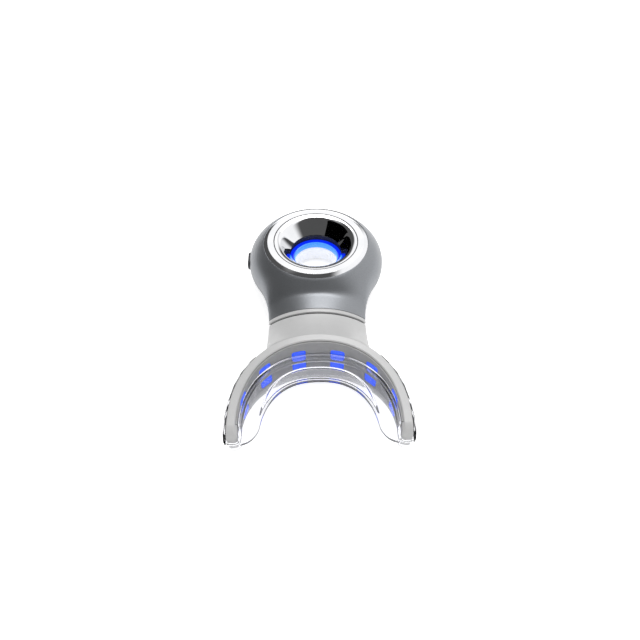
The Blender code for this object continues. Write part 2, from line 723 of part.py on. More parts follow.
def charge_socket(finish):
    back = SOCKET_MOUTH_Y - SOCKET_LENGTH
    shell = add_object("charge_socket", loft([socket_ring(SOCKET_WIDTH, SOCKET_HEIGHT, y)
                                              for y in (SOCKET_MOUTH_Y, back)]), finish)
    width = SOCKET_WIDTH - 2 * SOCKET_SHELL
    height = SOCKET_HEIGHT - 2 * SOCKET_SHELL
    pocket = loft([socket_ring(width, height, y)
                   for y in (SOCKET_MOUTH_Y + OVERRUN, SOCKET_MOUTH_Y - SOCKET_POCKET)])
    cut(shell, add_cutter("guide_socket_pocket", pocket))
    floor = SOCKET_MOUTH_Y - SOCKET_POCKET
    tongue = slab(-TONGUE_WIDTH / 2, TONGUE_WIDTH / 2, floor - OVERRUN / 2, floor + TONGUE_LENGTH,
                  SOCKET_MIDDLE - TONGUE_THICKNESS / 2, SOCKET_MIDDLE + TONGUE_THICKNESS / 2)
    fuse(shell, add_cutter("guide_socket_tongue", tongue))
    return shell


def battery_cell(finish):
    outline = rounded_outline(2 * CELL_HALF_WIDTH, CELL_THICKNESS, CELL_ROUND)
    middle = CELL_THICKNESS / 2 + GAP - BOARD_TOP_DROP
    rings = [[Vector((across, y_at(reach), z_at(middle + up))) for across, up in outline]
             for reach in (CELL_REACH, CELL_REACH + CELL_LENGTH)]
    return add_object("battery_cell", loft(rings), finish)


def housing_screws(finish):
    """Pan head screws that come up from under the lower ledge."""
    head_top = -LOWER_LEDGE_DROP - GAP
    head_under = head_top - SCREW_HEAD_HEIGHT
    tip = -BOARD_TOP_DROP + SCREW_DEPTH - GAP
    for index, (x, y) in enumerate(boss_places()):
        round_edge = SCREW_HEAD_HEIGHT / 3
        profile = [(0, head_under), (SCREW_HEAD_RADIUS - round_edge, head_under),
                   (SCREW_HEAD_RADIUS, head_under + round_edge), (SCREW_HEAD_RADIUS, head_top),
                   (SCREW_RADIUS, head_top), (SCREW_RADIUS, tip - SCREW_RADIUS / 2),
                   (SCREW_RADIUS / 2, tip), (0, tip)]
        screw = add_object(f"housing_screw_{index + 1}", turned_bar(profile, x, y), finish)
        recess = rod(SCREW_SLOT_RADIUS, head_under - OVERRUN, head_under + SCREW_SLOT_DEPTH, x, y, HEX_SIDES)
        cut(screw, add_cutter(f"guide_screw_recess_{index + 1}", recess))


def turned_bar(profile, x, y, segments=SMALL_SEGMENTS):
    """A solid turned about its own axis, from an open outline that starts and ends on it."""
    shape = bmesh.new()
    corners = [shape.verts.new((x + radius, y, z_at(rise))) for radius, rise in profile]
    edges = [shape.edges.new(pair) for pair in zip(corners, corners[1:])]
    bmesh.ops.spin(shape, geom=corners + edges, cent=(x, y, 0), axis=(0, 0, 1),
                   angle=math.tau, steps=segments, use_merge=True)
    bmesh.ops.remove_doubles(shape, verts=shape.verts, dist=WELD_DISTANCE)
    return shape


# Side button

def side_bar(radius, x_low, x_high, segments=SMALL_SEGMENTS):
    turns = [math.tau * step / segments for step in range(segments)]
    return loft([[Vector((x, HEAD_Y + radius * math.cos(turn), z_at(radius * math.sin(turn))))
                  for turn in turns] for x in (x_low, x_high)])


def side_button(finish):
    """Cap, flange that keeps it in the shell, and stem, pressed toward the head's centre."""
    flange_length = BUTTON_LENGTH + 2 * BUTTON_FLANGE
    flange_height = BUTTON_HEIGHT + 2 * BUTTON_FLANGE
    rings = []
    for x, grow in ((BUTTON_FACE_X, -BUTTON_EDGE), (BUTTON_FACE_X + BUTTON_EDGE, 0), (BUTTON_FLANGE_X, 0)):
        outline = rounded_outline(BUTTON_LENGTH + 2 * grow, BUTTON_HEIGHT + 2 * grow,
                                  (BUTTON_HEIGHT / 2 + grow) * PILL_ROUND_SHARE, PILL_SEGMENTS)
        rings.append([Vector((x, HEAD_Y + across, z_at(up))) for across, up in outline])
    button = add_object("side_button", loft(rings), finish)
    flange = pill_bar(flange_length, flange_height, BUTTON_FLANGE_X - GAP, BUTTON_STEM_X, HEAD_Y, 0)
    stem = side_bar(BUTTON_STEM_RADIUS, BUTTON_STEM_X - GAP, BUTTON_STEM_X + BUTTON_STEM_LENGTH)
    fuse(button, add_cutter("guide_button_flange", flange), add_cutter("guide_button_stem", stem))
    place_origin(button, Vector((BUTTON_FACE_X, HEAD_Y, z_at(0))))
    return button


def switch_parts(body_finish, plunger_finish):
    plunger = add_object("switch_plunger", side_bar(PLUNGER_RADIUS, PLUNGER_X, PLUNGER_X + PLUNGER_LENGTH),
                         plunger_finish)
    place_origin(plunger, Vector((PLUNGER_X, HEAD_Y, z_at(0))))
    low = -BOARD_TOP_DROP + GAP
    outline = rounded_outline(SWITCH_LENGTH, SWITCH_HEIGHT, SWITCH_CHAMFER, 1)
    rings = [[Vector((x, HEAD_Y + across, z_at(low + SWITCH_HEIGHT / 2 + up))) for across, up in outline]
             for x in (SWITCH_X, SWITCH_X + SWITCH_DEPTH)]
    body = add_object("switch_body", loft(rings), body_finish)
    bore_end = PLUNGER_X + PLUNGER_LENGTH + BUTTON_TRAVEL + GAP
    bore = side_bar(PLUNGER_RADIUS + GAP, SWITCH_X - OVERRUN, bore_end)
    cut(body, add_cutter("guide_switch_bore", bore))


# Seam between the neck and the mouthpiece

def neck_band(finish):
    """Pale band flush with the neck, with a sleeve that goes back into the shells."""
    band = add_object("neck_band", lens_bar(BAND_REACH, BAND_END_REACH, 0), finish)
    sleeve = lens_bar(SLEEVE_REACH, BAND_REACH + BAND_LENGTH / 2, SLEEVE_INSET, INNER_RING)
    bore_inset = SLEEVE_INSET + BAND_SLEEVE_WALL
    bore = lens_bar(SLEEVE_REACH - OVERRUN, BAND_END_REACH + OVERRUN, bore_inset, INNER_RING)
    fuse(band, add_cutter("guide_band_sleeve", sleeve))
    cut(band, add_cutter("guide_band_bore", bore))
    return band


def pin_places():
    return [(index - (PIN_COUNT - 1) / 2) * PIN_PITCH for index in range(PIN_COUNT)]


def lying_bar(radius, x, start, end, segments=HOLE_SEGMENTS):
    """A round bar along the neck between two reaches."""
    turns = [math.tau * step / segments for step in range(segments)]
    return loft([[Vector((x + radius * math.cos(turn), y_at(reach), z_at(radius * math.sin(turn))))
                  for turn in turns] for reach in (start, end)])


def contacts(block_finish, pin_finish):
    end = SLEEVE_REACH + CONTACT_BLOCK_LENGTH
    block = add_object("contact_block", lens_bar(SLEEVE_REACH, end, BLOCK_INSET, INNER_RING), block_finish)
    for index, x in enumerate(pin_places()):
        hole = lying_bar(PIN_RADIUS + GAP, x, SLEEVE_REACH - OVERRUN, end + OVERRUN)
        cut(block, add_cutter(f"guide_pin_hole_{index + 1}", hole))
        pin = lying_bar(PIN_RADIUS, x, SLEEVE_REACH - PIN_TAIL, PIN_TIP_REACH)
        add_object(f"contact_pin_{index + 1}", pin, pin_finish)


def seal_gasket(finish):
    end = GASKET_REACH + GASKET_THICKNESS
    gasket = add_object("seal_gasket", lens_bar(GASKET_REACH, end, GASKET_INSET), finish)
    bore = lens_bar(GASKET_REACH - OVERRUN, end + OVERRUN, BLOCK_INSET - GAP, INNER_RING)
    cut(gasket, add_cutter("guide_gasket_bore", bore))
    return gasket


# Path of the U

def arch_table():
    """Half of the U as a table of arc, sideways place, depth and outward direction."""
    turn = np.linspace(0, math.pi / 2, ARCH_SAMPLES)
    across = np.append(ARCH_HALF_WIDTH * np.sin(turn) ** (2 / ARCH_POWER), ARCH_HALF_WIDTH)
    back = np.append(ARCH_DEPTH * (1 - np.cos(turn) ** (2 / ARCH_POWER)), ARCH_DEPTH + ARM_LENGTH)
    steps = np.hypot(np.diff(across), np.diff(back))
    arc = np.concatenate(([0], np.cumsum(steps)))
    along_x = np.gradient(across, arc)
    along_back = np.gradient(back, arc)
    return arc, across, back, along_x, along_back


ARC, ACROSS, BACK, ALONG_X, ALONG_BACK = arch_table()
ARC_END = float(ARC[-1])


def arch_frame(arc):
    """Point on the panel face and the outward direction there, in plan."""
    side = -1 if arc < 0 else 1
    run = abs(arc)
    beyond = max(run - ARC_END, 0)
    x = float(np.interp(run, ARC, ACROSS))
    reach = ARCH_REACH + float(np.interp(run, ARC, BACK)) + beyond
    tangent = Vector((float(np.interp(run, ARC, ALONG_X)), -float(np.interp(run, ARC, ALONG_BACK))))
    tangent.normalize()
    return Vector((side * x, y_at(reach))), Vector((-side * tangent.y, tangent.x))


def arch_point(arc, offset, rise):
    point, outward = arch_frame(arc)
    place = point + offset * outward
    return Vector((place.x, place.y, z_at(rise)))


def arch_arcs(end, stations=ARCH_STATIONS):
    return [-end + 2 * end * step / stations for step in range(stations + 1)]


def arch_band(low_offset, high_offset, end, margin, stations=ARCH_STATIONS):
    """A curved strip of even thickness that follows the wall and stays a margin inside its edges."""
    rings = []
    for arc in arch_arcs(end, stations):
        top = rim_top(arc) - margin
        bottom = margin - rim_bottom(arc)
        rings.append([arch_point(arc, low_offset, bottom), arch_point(arc, high_offset, bottom),
                      arch_point(arc, high_offset, top), arch_point(arc, low_offset, top)])
    return loft(rings)


def rim_top(arc):
    """Rise of the rim: nearly level in front, falling toward the arms."""
    share = (1 + math.cos(math.pi * min(abs(arc) / ARC_END, 1))) / 2
    return RIM_TOP_ARM + (RIM_TOP_FRONT - RIM_TOP_ARM) * share ** RIM_TOP_POWER


def rim_bottom(arc):
    share = max(abs(arc) - RIM_FLAT_ARC, 0) / (ARC_END - RIM_FLAT_ARC)
    return MID_HEIGHT - (MID_HEIGHT - RIM_BOTTOM_ARM) * min(share, 1) ** RIM_BOTTOM_POWER


def tip_share(arc):
    """Share of the wall's height left near the rounded arm tips."""
    run = max(abs(arc) - (ARC_END - TIP_ROUND), 0) / TIP_ROUND
    return max(math.sqrt(max(1 - run * run, 0)), TIP_HEIGHT_SHARE)


# Mouthpiece shell

def wall_ring(arc):
    share = tip_share(arc)
    top = rim_top(arc) * share
    bottom = -rim_bottom(arc) * share
    run = max(abs(arc) - (ARC_END - TIP_CORNER), 0) / TIP_CORNER
    draw_in = TIP_CORNER * (1 - math.sqrt(max(1 - run * run, 0)))
    low = draw_in
    high = ARCH_WALL - draw_in
    bevel = min(RIM_BEVEL, (high - low) / 3)
    drop = RIM_INNER_BEVEL_HEIGHT * share
    edge = min(RIM_EDGE, (high - low) / 3)
    outline = [(low, top - drop), (low + bevel, top), (high - edge, top), (high, top - edge),
               (high, bottom + edge), (high - edge, bottom), (low + bevel, bottom), (low, bottom + drop)]
    return [arch_point(arc, offset, rise) for offset, rise in outline]


def wall_solid():
    inner = arch_arcs(ARC_END - TIP_ROUND)
    tips = [ARC_END - TIP_ROUND * math.cos(math.pi / 2 * (step + 1) / TIP_STATIONS)
            for step in range(TIP_STATIONS)]
    arcs = [-arc for arc in reversed(tips)] + inner + tips
    return loft([wall_ring(arc) for arc in arcs])


def collar_ring(reach, inset):
    """Section of the collar: the neck's lens at the seam, tall and rounder at the wall."""
    start = COLLAR_REACH
    end = ARCH_REACH - ARCH_WALL
    run = min(max((reach - start) / (end - start), 0), 1)
    width = NECK_HALF_WIDTH - COLLAR_EDGE_INSET
    half_width = width + (COLLAR_END_HALF_WIDTH - width) * run * run
    flare = run ** COLLAR_FLARE_POWER
    height = NECK_HALF_HEIGHT - COLLAR_EDGE_INSET
    half_height = height + (COLLAR_END_RISE - height) * flare
    share = NECK_ROUND_SHARE + (COLLAR_ROUND_SHARE - NECK_ROUND_SHARE) * run
    return body_ring(reach, half_width - inset, half_height - inset, share)


def collar_solid(start, end, inset, stations=COLLAR_STATIONS):
    wall_reach = ARCH_REACH - ARCH_WALL
    reaches = [start + (min(end, wall_reach) - start) * step / stations for step in range(stations + 1)]
    if end > wall_reach:
        reaches.append(end)
    return loft([collar_ring(reach, inset) for reach in reaches])


def arch_shell(finish):
    """Collar, wall and plug moulded in one, with a pocket for the lights and a duct for their board."""
    side_reach = ARCH_REACH + ARCH_DEPTH / 4
    shell = add_object("arch_shell", collar_solid(COLLAR_REACH, side_reach, 0), finish, 28)
    middle = ARCH_WALL - COLLAR_BURY
    inside = [arch_point(arc, middle, 0) for arc in arch_arcs(ARC_END)]
    tall = 2 * MID_HEIGHT
    core = add_cutter("guide_arch_core", prism([(point.x, point.y) for point in inside], -tall, tall))
    cut(shell, core)
    fuse(shell, add_cutter("guide_arch_wall", wall_solid()))
    plug = add_cutter("guide_plug", lens_bar(PLUG_REACH, COLLAR_REACH + OVERRUN, BLOCK_INSET, INNER_RING))
    fuse(shell, plug)
    pocket = arch_band(-OVERRUN, POCKET_DEPTH, ARC_END - POCKET_END, POCKET_MARGIN)
    cavity = collar_solid(COLLAR_REACH + COLLAR_WALL, ARCH_REACH - ARCH_WALL - COLLAR_WEB, COLLAR_WALL,
                          COLLAR_STATIONS // 2)
    bore = lens_bar(PLUG_REACH - OVERRUN, COLLAR_REACH + PLUG_BORE_DEPTH, BORE_INSET, INNER_RING)
    duct = slab(-DUCT_HALF_WIDTH, DUCT_HALF_WIDTH, y_at(ARCH_REACH + OVERRUN), y_at(PLUG_REACH + OVERRUN),
                -DUCT_HALF_HEIGHT, DUCT_HALF_HEIGHT)
    cut(shell, add_cutter("guide_light_pocket", pocket), add_cutter("guide_collar_cavity", cavity),
        add_cutter("guide_plug_bore", bore), add_cutter("guide_duct", duct))
    return shell


# Lights in the wall

def window_places():
    """Arc and rise of each window, left to right, upper row first."""
    arcs = [WINDOW_FIRST_ARC + step * WINDOW_PITCH for step in range(WINDOW_COLUMNS_PER_SIDE)]
    columns = [-arc for arc in reversed(arcs)] + arcs
    drops = [WINDOW_END_DROP if abs(arc) == arcs[-1] else 0 for arc in columns]
    rows = (("upper", WINDOW_ROW_RISE), ("lower", WINDOW_ROW_RISE - WINDOW_ROW_SPACING))
    return [(f"{row}_{index + 1}", arc, rise - drops[index])
            for row, rise in rows for index, arc in enumerate(columns)]


def window_block(arc, rise, grow, low_offset, high_offset):
    """A rounded block square to the wall at one place on the U."""
    point, outward = arch_frame(arc)
    along = Vector((-outward.y, outward.x))
    outline = rounded_outline(WINDOW_WIDTH + 2 * grow, WINDOW_HEIGHT + 2 * grow, WINDOW_CORNER + grow)
    rings = []
    for offset in (low_offset, high_offset):
        ring = []
        for across, up in outline:
            place = point + offset * outward + across * along
            ring.append(Vector((place.x, place.y, z_at(rise + up))))
        rings.append(ring)
    return loft(rings)


def led_panel(finish):
    panel = add_object("led_panel", arch_band(0, PANEL_THICKNESS, ARC_END - POCKET_END - GAP,
                                              POCKET_MARGIN + GAP), finish)
    for name, arc, rise in window_places():
        hole = window_block(arc, rise, GAP, -OVERRUN, PANEL_THICKNESS + OVERRUN)
        cut(panel, add_cutter(f"guide_window_{name}", hole))
    return panel


def led_windows(finish):
    for name, arc, rise in window_places():
        add_object(f"led_window_{name}", window_block(arc, rise, 0, 0, WINDOW_THICKNESS), finish)


def flex_board(finish):
    low = WINDOW_THICKNESS + GAP
    end = ARC_END - POCKET_END - FLEX_MARGIN
    band = arch_band(low, low + FLEX_THICKNESS, end, POCKET_MARGIN + FLEX_MARGIN)
    flex = add_object("flex_board", band, finish)
    start = PLUG_REACH + PLUG_BOARD_THICKNESS + GAP
    tail = slab(-FLEX_TAIL_HALF_WIDTH, FLEX_TAIL_HALF_WIDTH, y_at(ARCH_REACH - low - FLEX_THICKNESS / 2),
                y_at(start), -FLEX_THICKNESS / 2, FLEX_THICKNESS / 2)
    fuse(flex, add_cutter("guide_flex_tail", tail))
    return flex


def plug_contact_board(finish):
    board = lens_bar(PLUG_REACH, PLUG_REACH + PLUG_BOARD_THICKNESS, BORE_INSET + GAP, INNER_RING)
    return add_object("plug_contact_board", board, finish)


# Clear bite tray

def plate_width(arc):
    share = min(abs(arc) / PLATE_WIDTH_ARC, 1) ** PLATE_WIDTH_POWER
    width = PLATE_FRONT_WIDTH - (PLATE_FRONT_WIDTH - PLATE_ARM_WIDTH) * share
    run = max(abs(arc) - (PLATE_END_ARC - PLATE_END_ROUND), 0) / PLATE_END_ROUND
    return width * math.sqrt(max(1 - (run * PLATE_END_SHARE) ** 2, 0))


def plate_solid():
    top = PLATE_RISE + PLATE_THICKNESS / 2
    bottom = top - PLATE_THICKNESS
    root = -(GAP + SKIN / 2)
    rings = []
    for arc in arch_arcs(PLATE_END_ARC, ARCH_STATIONS + TIP_STATIONS):
        inner = -plate_width(arc)
        nose = PLATE_NOSE
        outline = [(root, top), (inner + nose, top), (inner, top - nose), (inner, bottom + nose),
                   (inner + nose, bottom), (root, bottom)]
        rings.append([arch_point(arc, offset, rise) for offset, rise in outline])
    return loft(rings)


def tongue_wall_solid():
    """The short wall behind the front teeth, fading into the plate at both ends."""
    rings = []
    for arc in arch_arcs(TONGUE_WALL_ARC, ARCH_STATIONS - 2 * TIP_STATIONS):
        fade = 1 - (abs(arc) / TONGUE_WALL_ARC) ** TONGUE_WALL_POWER
        top = TONGUE_TOP + GAP + (TONGUE_WALL_RISE - TONGUE_TOP) * fade
        inner = TONGUE_WALL_SET_BACK - plate_width(arc)
        outer = inner + TONGUE_WALL_THICKNESS
        outline = [(inner, PLATE_RISE), (outer, PLATE_RISE), (outer, top), (inner, top)]
        rings.append([arch_point(arc, offset, rise) for offset, rise in outline])
    return loft(rings)


def tip_turn():
    """The skin's way round an arm tip, as offset, arc and outward direction in that pair."""
    outer = ARCH_WALL + GAP + SKIN / 2
    inner = -(GAP + SKIN / 2)
    radius = TIP_CORNER + GAP + SKIN / 2
    far = ARC_END + GAP + SKIN / 2
    steps = [math.pi / 2 * step / TIP_STATIONS for step in range(TIP_STATIONS + 1)]
    places = [(outer - radius + radius * math.cos(turn), far - radius + radius * math.sin(turn),
               math.cos(turn), math.sin(turn)) for turn in steps]
    places += [(inner + radius - radius * math.sin(turn), far - radius + radius * math.cos(turn),
                -math.sin(turn), math.cos(turn)) for turn in steps]
    return places


def skin_path():
    """Stations of the skin on the right half: arc, offset, its outward direction, top and bottom."""
    stations = []
    outer = ARCH_WALL + GAP + SKIN / 2
    turn = tip_turn()
    turn_arc = turn[0][1]
    count = ARCH_STATIONS // 3
    for step in range(count):
        arc = SKIN_START_ARC + (turn_arc - SKIN_START_ARC) * step / count
        share = tip_share(arc)
        top = max((rim_top(arc) - SKIN_DROP) * share, TIP_SKIN_RISE)
        bottom = max((rim_bottom(arc) - SKIN_DROP) * share, TIP_SKIN_RISE)
        stations.append((arc, outer, 1, 0, top, -bottom))
    for offset, arc, out, forth in turn:
        stations.append((arc, offset, out, forth, TIP_SKIN_RISE, -TIP_SKIN_RISE))
    inner = turn[-1][0]
    count = ARCH_STATIONS // 2
    for step in range(1, count + 1):
        arc = turn_arc * (1 - step / count)
        blend = min((turn_arc - arc) / TIP_ROUND, 1)
        top = TIP_SKIN_RISE + (FRONT_WALL_RISE - TIP_SKIN_RISE) * blend
        bottom = -TIP_SKIN_RISE + (TIP_SKIN_RISE + PLATE_RISE) * blend
        stations.append((arc, inner, -1, 0, top, bottom))
    return stations


def skin_ring(side, station):
    arc, offset, out, forth, top, bottom = station
    corners = []
    for half, rise in ((SKIN / 2, bottom), (SKIN / 2, top), (-SKIN / 2, top), (-SKIN / 2, bottom)):
        corners.append(arch_point(side * (arc + half * forth), offset + half * out, rise))
    return corners


def skin_solid():
    """One ribbon: outer skin, round the tip, along the light panel and back round the other arm."""
    half = skin_path()
    left = [skin_ring(-1, station) for station in half]
    right = [skin_ring(1, station) for station in reversed(half[:-1])]
    return loft(left + right)


def bite_tray(finish):
    tray = add_object("bite_tray", skin_solid(), finish)
    fuse(tray, add_cutter("guide_plate", plate_solid()), add_cutter("guide_tongue_wall", tongue_wall_solid()))
    weld(tray)
    return tray


for old in list(bpy.data.objects):
    bpy.data.objects.remove(old, do_unlink=True)

silver_paint = material("silver painted ABS", (0.38, 0.40, 0.42), 0.32, 0.6)
mirror_metal = material("mirror bright metal", (0.85, 0.85, 0.86), 0.06, 1.0)
pale_plastic = material("pale grey ABS", (0.62, 0.62, 0.62), 0.35)
panel_plastic = material("grey silicone panel", (0.33, 0.33, 0.33), 0.4)
blue_light = material("lit blue lens", (0.10, 0.20, 1.0), 0.2)
clear_plastic = material("clear silicone", (0.95, 0.96, 0.98), 0.1, 0.0, 0.9)
dark_rubber = material("dark rubber", (0.05, 0.05, 0.055), 0.6)
dark_plastic = material("dark grey plastic", (0.07, 0.07, 0.075), 0.45)
green_board = material("green circuit board", (0.02, 0.16, 0.07), 0.5)
amber_film = material("amber film board", (0.45, 0.20, 0.04), 0.4)
cell_foil = material("cell foil", (0.60, 0.61, 0.62), 0.35, 0.7)
steel = material("steel", (0.55, 0.55, 0.56), 0.3, 1.0)
gold_plate = material("gold plated brass", (0.80, 0.58, 0.22), 0.25, 1.0)

button_hole = button_cutter()
socket_hole = socket_cutter()
housings(silver_paint)
top_bowl_trim(mirror_metal)
foot_ring(pale_plastic)
light_guide_ring(blue_light)
guide_seal(dark_rubber)
throat_sleeve(pale_plastic)
main_board(green_board)
ring_lamps(blue_light)
charge_socket(steel)
battery_cell(cell_foil)
housing_screws(steel)
side_button(dark_plastic)
switch_parts(dark_plastic, steel)
neck_band(pale_plastic)
contacts(dark_plastic, gold_plate)
seal_gasket(dark_rubber)
arch_shell(pale_plastic)
led_panel(panel_plastic)
led_windows(blue_light)
flex_board(amber_film)
plug_contact_board(green_board)
bite_tray(clear_plastic)
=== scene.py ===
"""The looks of the teeth whitening machine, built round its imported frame.

Sizes are in metres. The head is toward +Y and the mouth side toward -Y. Reach is measured from the
head's centre toward the mouth, and rise up from the parting plane between the two housings. Along
the U, arc is the distance from its middle and offset the distance outward from the light panel.
"""

import math

import bmesh
import bpy
from mathutils import Euler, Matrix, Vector


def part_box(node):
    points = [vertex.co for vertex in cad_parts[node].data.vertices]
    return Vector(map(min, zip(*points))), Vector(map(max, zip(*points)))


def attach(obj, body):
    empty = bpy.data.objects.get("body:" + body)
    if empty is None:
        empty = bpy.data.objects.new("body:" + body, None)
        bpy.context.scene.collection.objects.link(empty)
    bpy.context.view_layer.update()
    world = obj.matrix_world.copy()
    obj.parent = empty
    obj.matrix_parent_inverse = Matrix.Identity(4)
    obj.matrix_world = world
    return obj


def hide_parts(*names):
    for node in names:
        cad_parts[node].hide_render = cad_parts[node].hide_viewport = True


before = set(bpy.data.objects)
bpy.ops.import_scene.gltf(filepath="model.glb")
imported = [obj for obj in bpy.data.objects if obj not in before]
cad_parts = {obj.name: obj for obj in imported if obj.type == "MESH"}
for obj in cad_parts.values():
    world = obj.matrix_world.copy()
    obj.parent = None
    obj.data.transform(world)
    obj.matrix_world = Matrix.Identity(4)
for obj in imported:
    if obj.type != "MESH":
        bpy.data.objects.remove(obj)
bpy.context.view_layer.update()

MM = 0.001

# Places read from the frame
foot_low, foot_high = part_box("foot_ring")
button_low, button_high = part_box("side_button")
HEAD_Y = (foot_low[1] + foot_high[1]) / 2
MID_HEIGHT = (button_low[2] + button_high[2]) / 2

# Clearances, and how far a cutter or a joined solid goes past the face that it meets
GAP = 0.0003
SEAM = 0.00018
OVERSHOOT = 1 * MM
MERGE_DISTANCE = 0.001 * MM

# Head and neck
TRIM_RADIUS = 0.0216
HEAD_RADIUS = 0.0284
HEAD_HALF_HEIGHT = 0.0165
NECK_HALF_WIDTH = 0.0186
NECK_HALF_HEIGHT = 0.0072
NECK_REACH = 0.0339
NECK_PARALLEL_REACH = 0.0360
HEAD_SECTION_REACH = HEAD_RADIUS * 0.49
NECK_ROUND_SHARE = 0.15
HEIGHT_BLEND_POWER = 8
HOUSING_WALL = 0.0018
HOUSING_EDGE = 0.00014
PARTING_LAP = 0.01 * MM
NECK_STEPS = 72
HEAD_STEPS = 168
SHELL_STATIONS = 26

# Trims round the finger hole. BEVEL_EDGE is the dish's rounded outer edge, as millimetres inward and up.
# LIP_ROLL is its rolled lip, as shares of the way inward and of the way down. SLEEVE_BORE is the steps of
# the sleeve, as millimetres outside the light guide's bore and below the parting plane.
BOWL_TOP_RISE = 0.0113
BOWL_EDGE_RISE = 0.0105
BOWL_SEAT_RISE = 0.0077
CROWN_RADIUS = 0.0200
LIP_OUTER_RADIUS = 0.0171
LIP_INNER_RADIUS = 0.0144
LIP_INNER_RISE = 0.0100
THROAT_RADIUS = 0.0107
THROAT_RISE = 0.0050
THROAT_THICKNESS = 0.0006
BOWL_THICKNESS = 0.0012
WALL_HOLLOW = 0.02
WALL_STEPS = 8
BEVEL_EDGE = ((0.0, -0.14), (0.06, -0.02), (0.18, 0.04))
CROWN_ROUND = 0.1 * MM
CROWN_DROP = 0.04 * MM
LIP_STEP = 0.08 * MM
LIP_ROLL = ((0.12, 0.02), (0.24, 0.06), (0.36, 0.12), (0.48, 0.20), (0.60, 0.30), (0.71, 0.42),
            (0.81, 0.56), (0.89, 0.71), (0.95, 0.86))
GROOVE_WIDTH = 0.00040
GROOVE_DEPTH = 0.00040
LINE_LIFT = 0.02 * MM
LINE_SINK = 0.04 * MM
LINE_SIDE_SHARE = 0.06
SEAL_INNER_RADIUS = 0.0115
SEAL_OUTER_RADIUS = 0.0129
SEAL_TOP_RISE = 0.0041
GUIDE_RADIUS = 0.0112
GUIDE_BORE_RADIUS = 0.0090
GUIDE_TOP_RISE = 0.0019
GUIDE_BOTTOM_DROP = 0.0007
GUIDE_FLANGE_RADIUS = 0.0142
GUIDE_FLANGE_RISE = 0.0004
SLEEVE_START = 0.2 * MM
SLEEVE_BORE = ((0.4, 2.2), (0.95, 2.7), (1.25, 4.6), (1.6, 5.0), (1.75, 7.1))
SLEEVE_NECK = 0.4 * MM
SLEEVE_SHOULDER_DROP = 0.0033
SLEEVE_END_RADIUS = 0.0110
SLEEVE_END_DROP = 0.0093
SLEEVE_WALL = 0.0013
FOOT_BEVEL_RADIUS = 0.0204
FOOT_BEVEL_DROP = 0.0104
FOOT_INNER_RADIUS = 0.0138
FOOT_SEAT_DROP = 0.0077
FOOT_WALL = 0.0013
TURN_STEPS = 160

# Side button and charging socket
BUTTON_LENGTH = 0.0086
BUTTON_HEIGHT = 0.0044
BUTTON_PROUD = 0.0006
BUTTON_DEPTH = 0.0043
BUTTON_FLANGE = 0.0008
BUTTON_STEM_RADIUS = 0.0012
BUTTON_STEM_LENGTH = 0.0035
BUTTON_ROUND = 0.55 * MM
BUTTON_HOLE_SHARE = 0.8
STEM_STEPS = 32
ROUND_END_SHARE = 0.98
ROUND_END_STEPS = 8
SOCKET_WIDTH = 0.0089
SOCKET_HEIGHT = 0.0032
SOCKET_LENGTH = 0.0073
SOCKET_SHELL = 0.0003
SOCKET_EDGE = 0.06 * MM
SOCKET_HOLE = 4 * MM
SOCKET_POCKET = 0.0060
SOCKET_SET_BACK = 0.0008
SOCKET_RISE = -0.0001
TONGUE_WIDTH = 0.0067
TONGUE_THICKNESS = 0.0007
TONGUE_LENGTH = 0.0045
TONGUE_CORNER = 0.12 * MM
TONGUE_ROOT = 0.4 * MM

# Seam between the neck and the mouthpiece. The laps narrow the gaps that are seen there.
SEAM_LAP = 0.12 * MM
BAND_EDGE = 0.14 * MM
GASKET_LAP = 0.1 * MM
GASKET_EDGE = 0.1 * MM
GASKET_INSET = 0.6 * MM
BAND_REACH = NECK_REACH + GAP
BAND_END_REACH = BAND_REACH + 0.0015
GASKET_REACH = BAND_END_REACH + GAP
GASKET_END_REACH = GASKET_REACH + 0.0004
COLLAR_REACH = GASKET_END_REACH + GAP
SLEEVE_REACH = BAND_REACH - 0.0062
SLEEVE_INSET = HOUSING_WALL + GAP
BORE_INSET = SLEEVE_INSET + 0.0010
PLUG_INSET = BORE_INSET + GAP
PLUG_REACH = 0.0310
PLUG_BORE_INSET = PLUG_INSET + 0.0014
PLUG_BORE_DEPTH = 0.0016
RING_STEPS = 160

# U-shaped wall, its collar and its light panel
ARCH_REACH = 0.0528
ARCH_HALF_WIDTH = 0.0263
ARCH_DEPTH = 0.0270
ARCH_POWER = 2.2
ARM_LENGTH = 0.0056
ARCH_SAMPLES = 600
DIRECTION_RUN = 0.3 * MM
ARCH_WALL = 0.0034
CORE_LAP = 1.2 * MM
RIM_TOP_FRONT = 0.0112
RIM_TOP_ARM = 0.0057
RIM_TOP_POWER = 0.9
RIM_BOTTOM_ARM = 0.0044
RIM_BOTTOM_POWER = 1.3
RIM_FLAT_ARC = 0.0180
RIM_BEVEL = 0.0008
RIM_BEVEL_HEIGHT = 0.0010
RIM_EDGE = 0.00045
TIP_ROUND = 0.0040
TIP_CORNER = 0.0009
TIP_HEIGHT_SHARE = 0.35
TIP_STEPS = 14
COLLAR_END_HALF_WIDTH = 0.0192
COLLAR_END_RISE = 0.0104
COLLAR_FLARE_POWER = 1.6
COLLAR_ROUND_SHARE = 0.9
COLLAR_EDGE_INSET = 0.0001
COLLAR_EDGE = 0.00014
COLLAR_STEPS = 24
ARCH_STEPS = 120
WINDOW_WIDTH = 0.0049
WINDOW_HEIGHT = 0.0055
WINDOW_CORNER = 0.0009
WINDOW_FIRST_ARC = 0.0069
WINDOW_PITCH = 0.0134
WINDOW_ROW_RISE = 0.0034
WINDOW_ROW_SPACING = 0.0067
WINDOW_END_DROP = 0.0005
WINDOW_GAP = 0.12 * MM
WINDOW_PROUD = 0.05 * MM
WINDOW_EDGE = 0.12 * MM
PANEL_THICKNESS = 0.0010
PANEL_MARGIN = 0.0007
PANEL_END = 0.0045
POCKET_DEPTH = 2.2 * MM
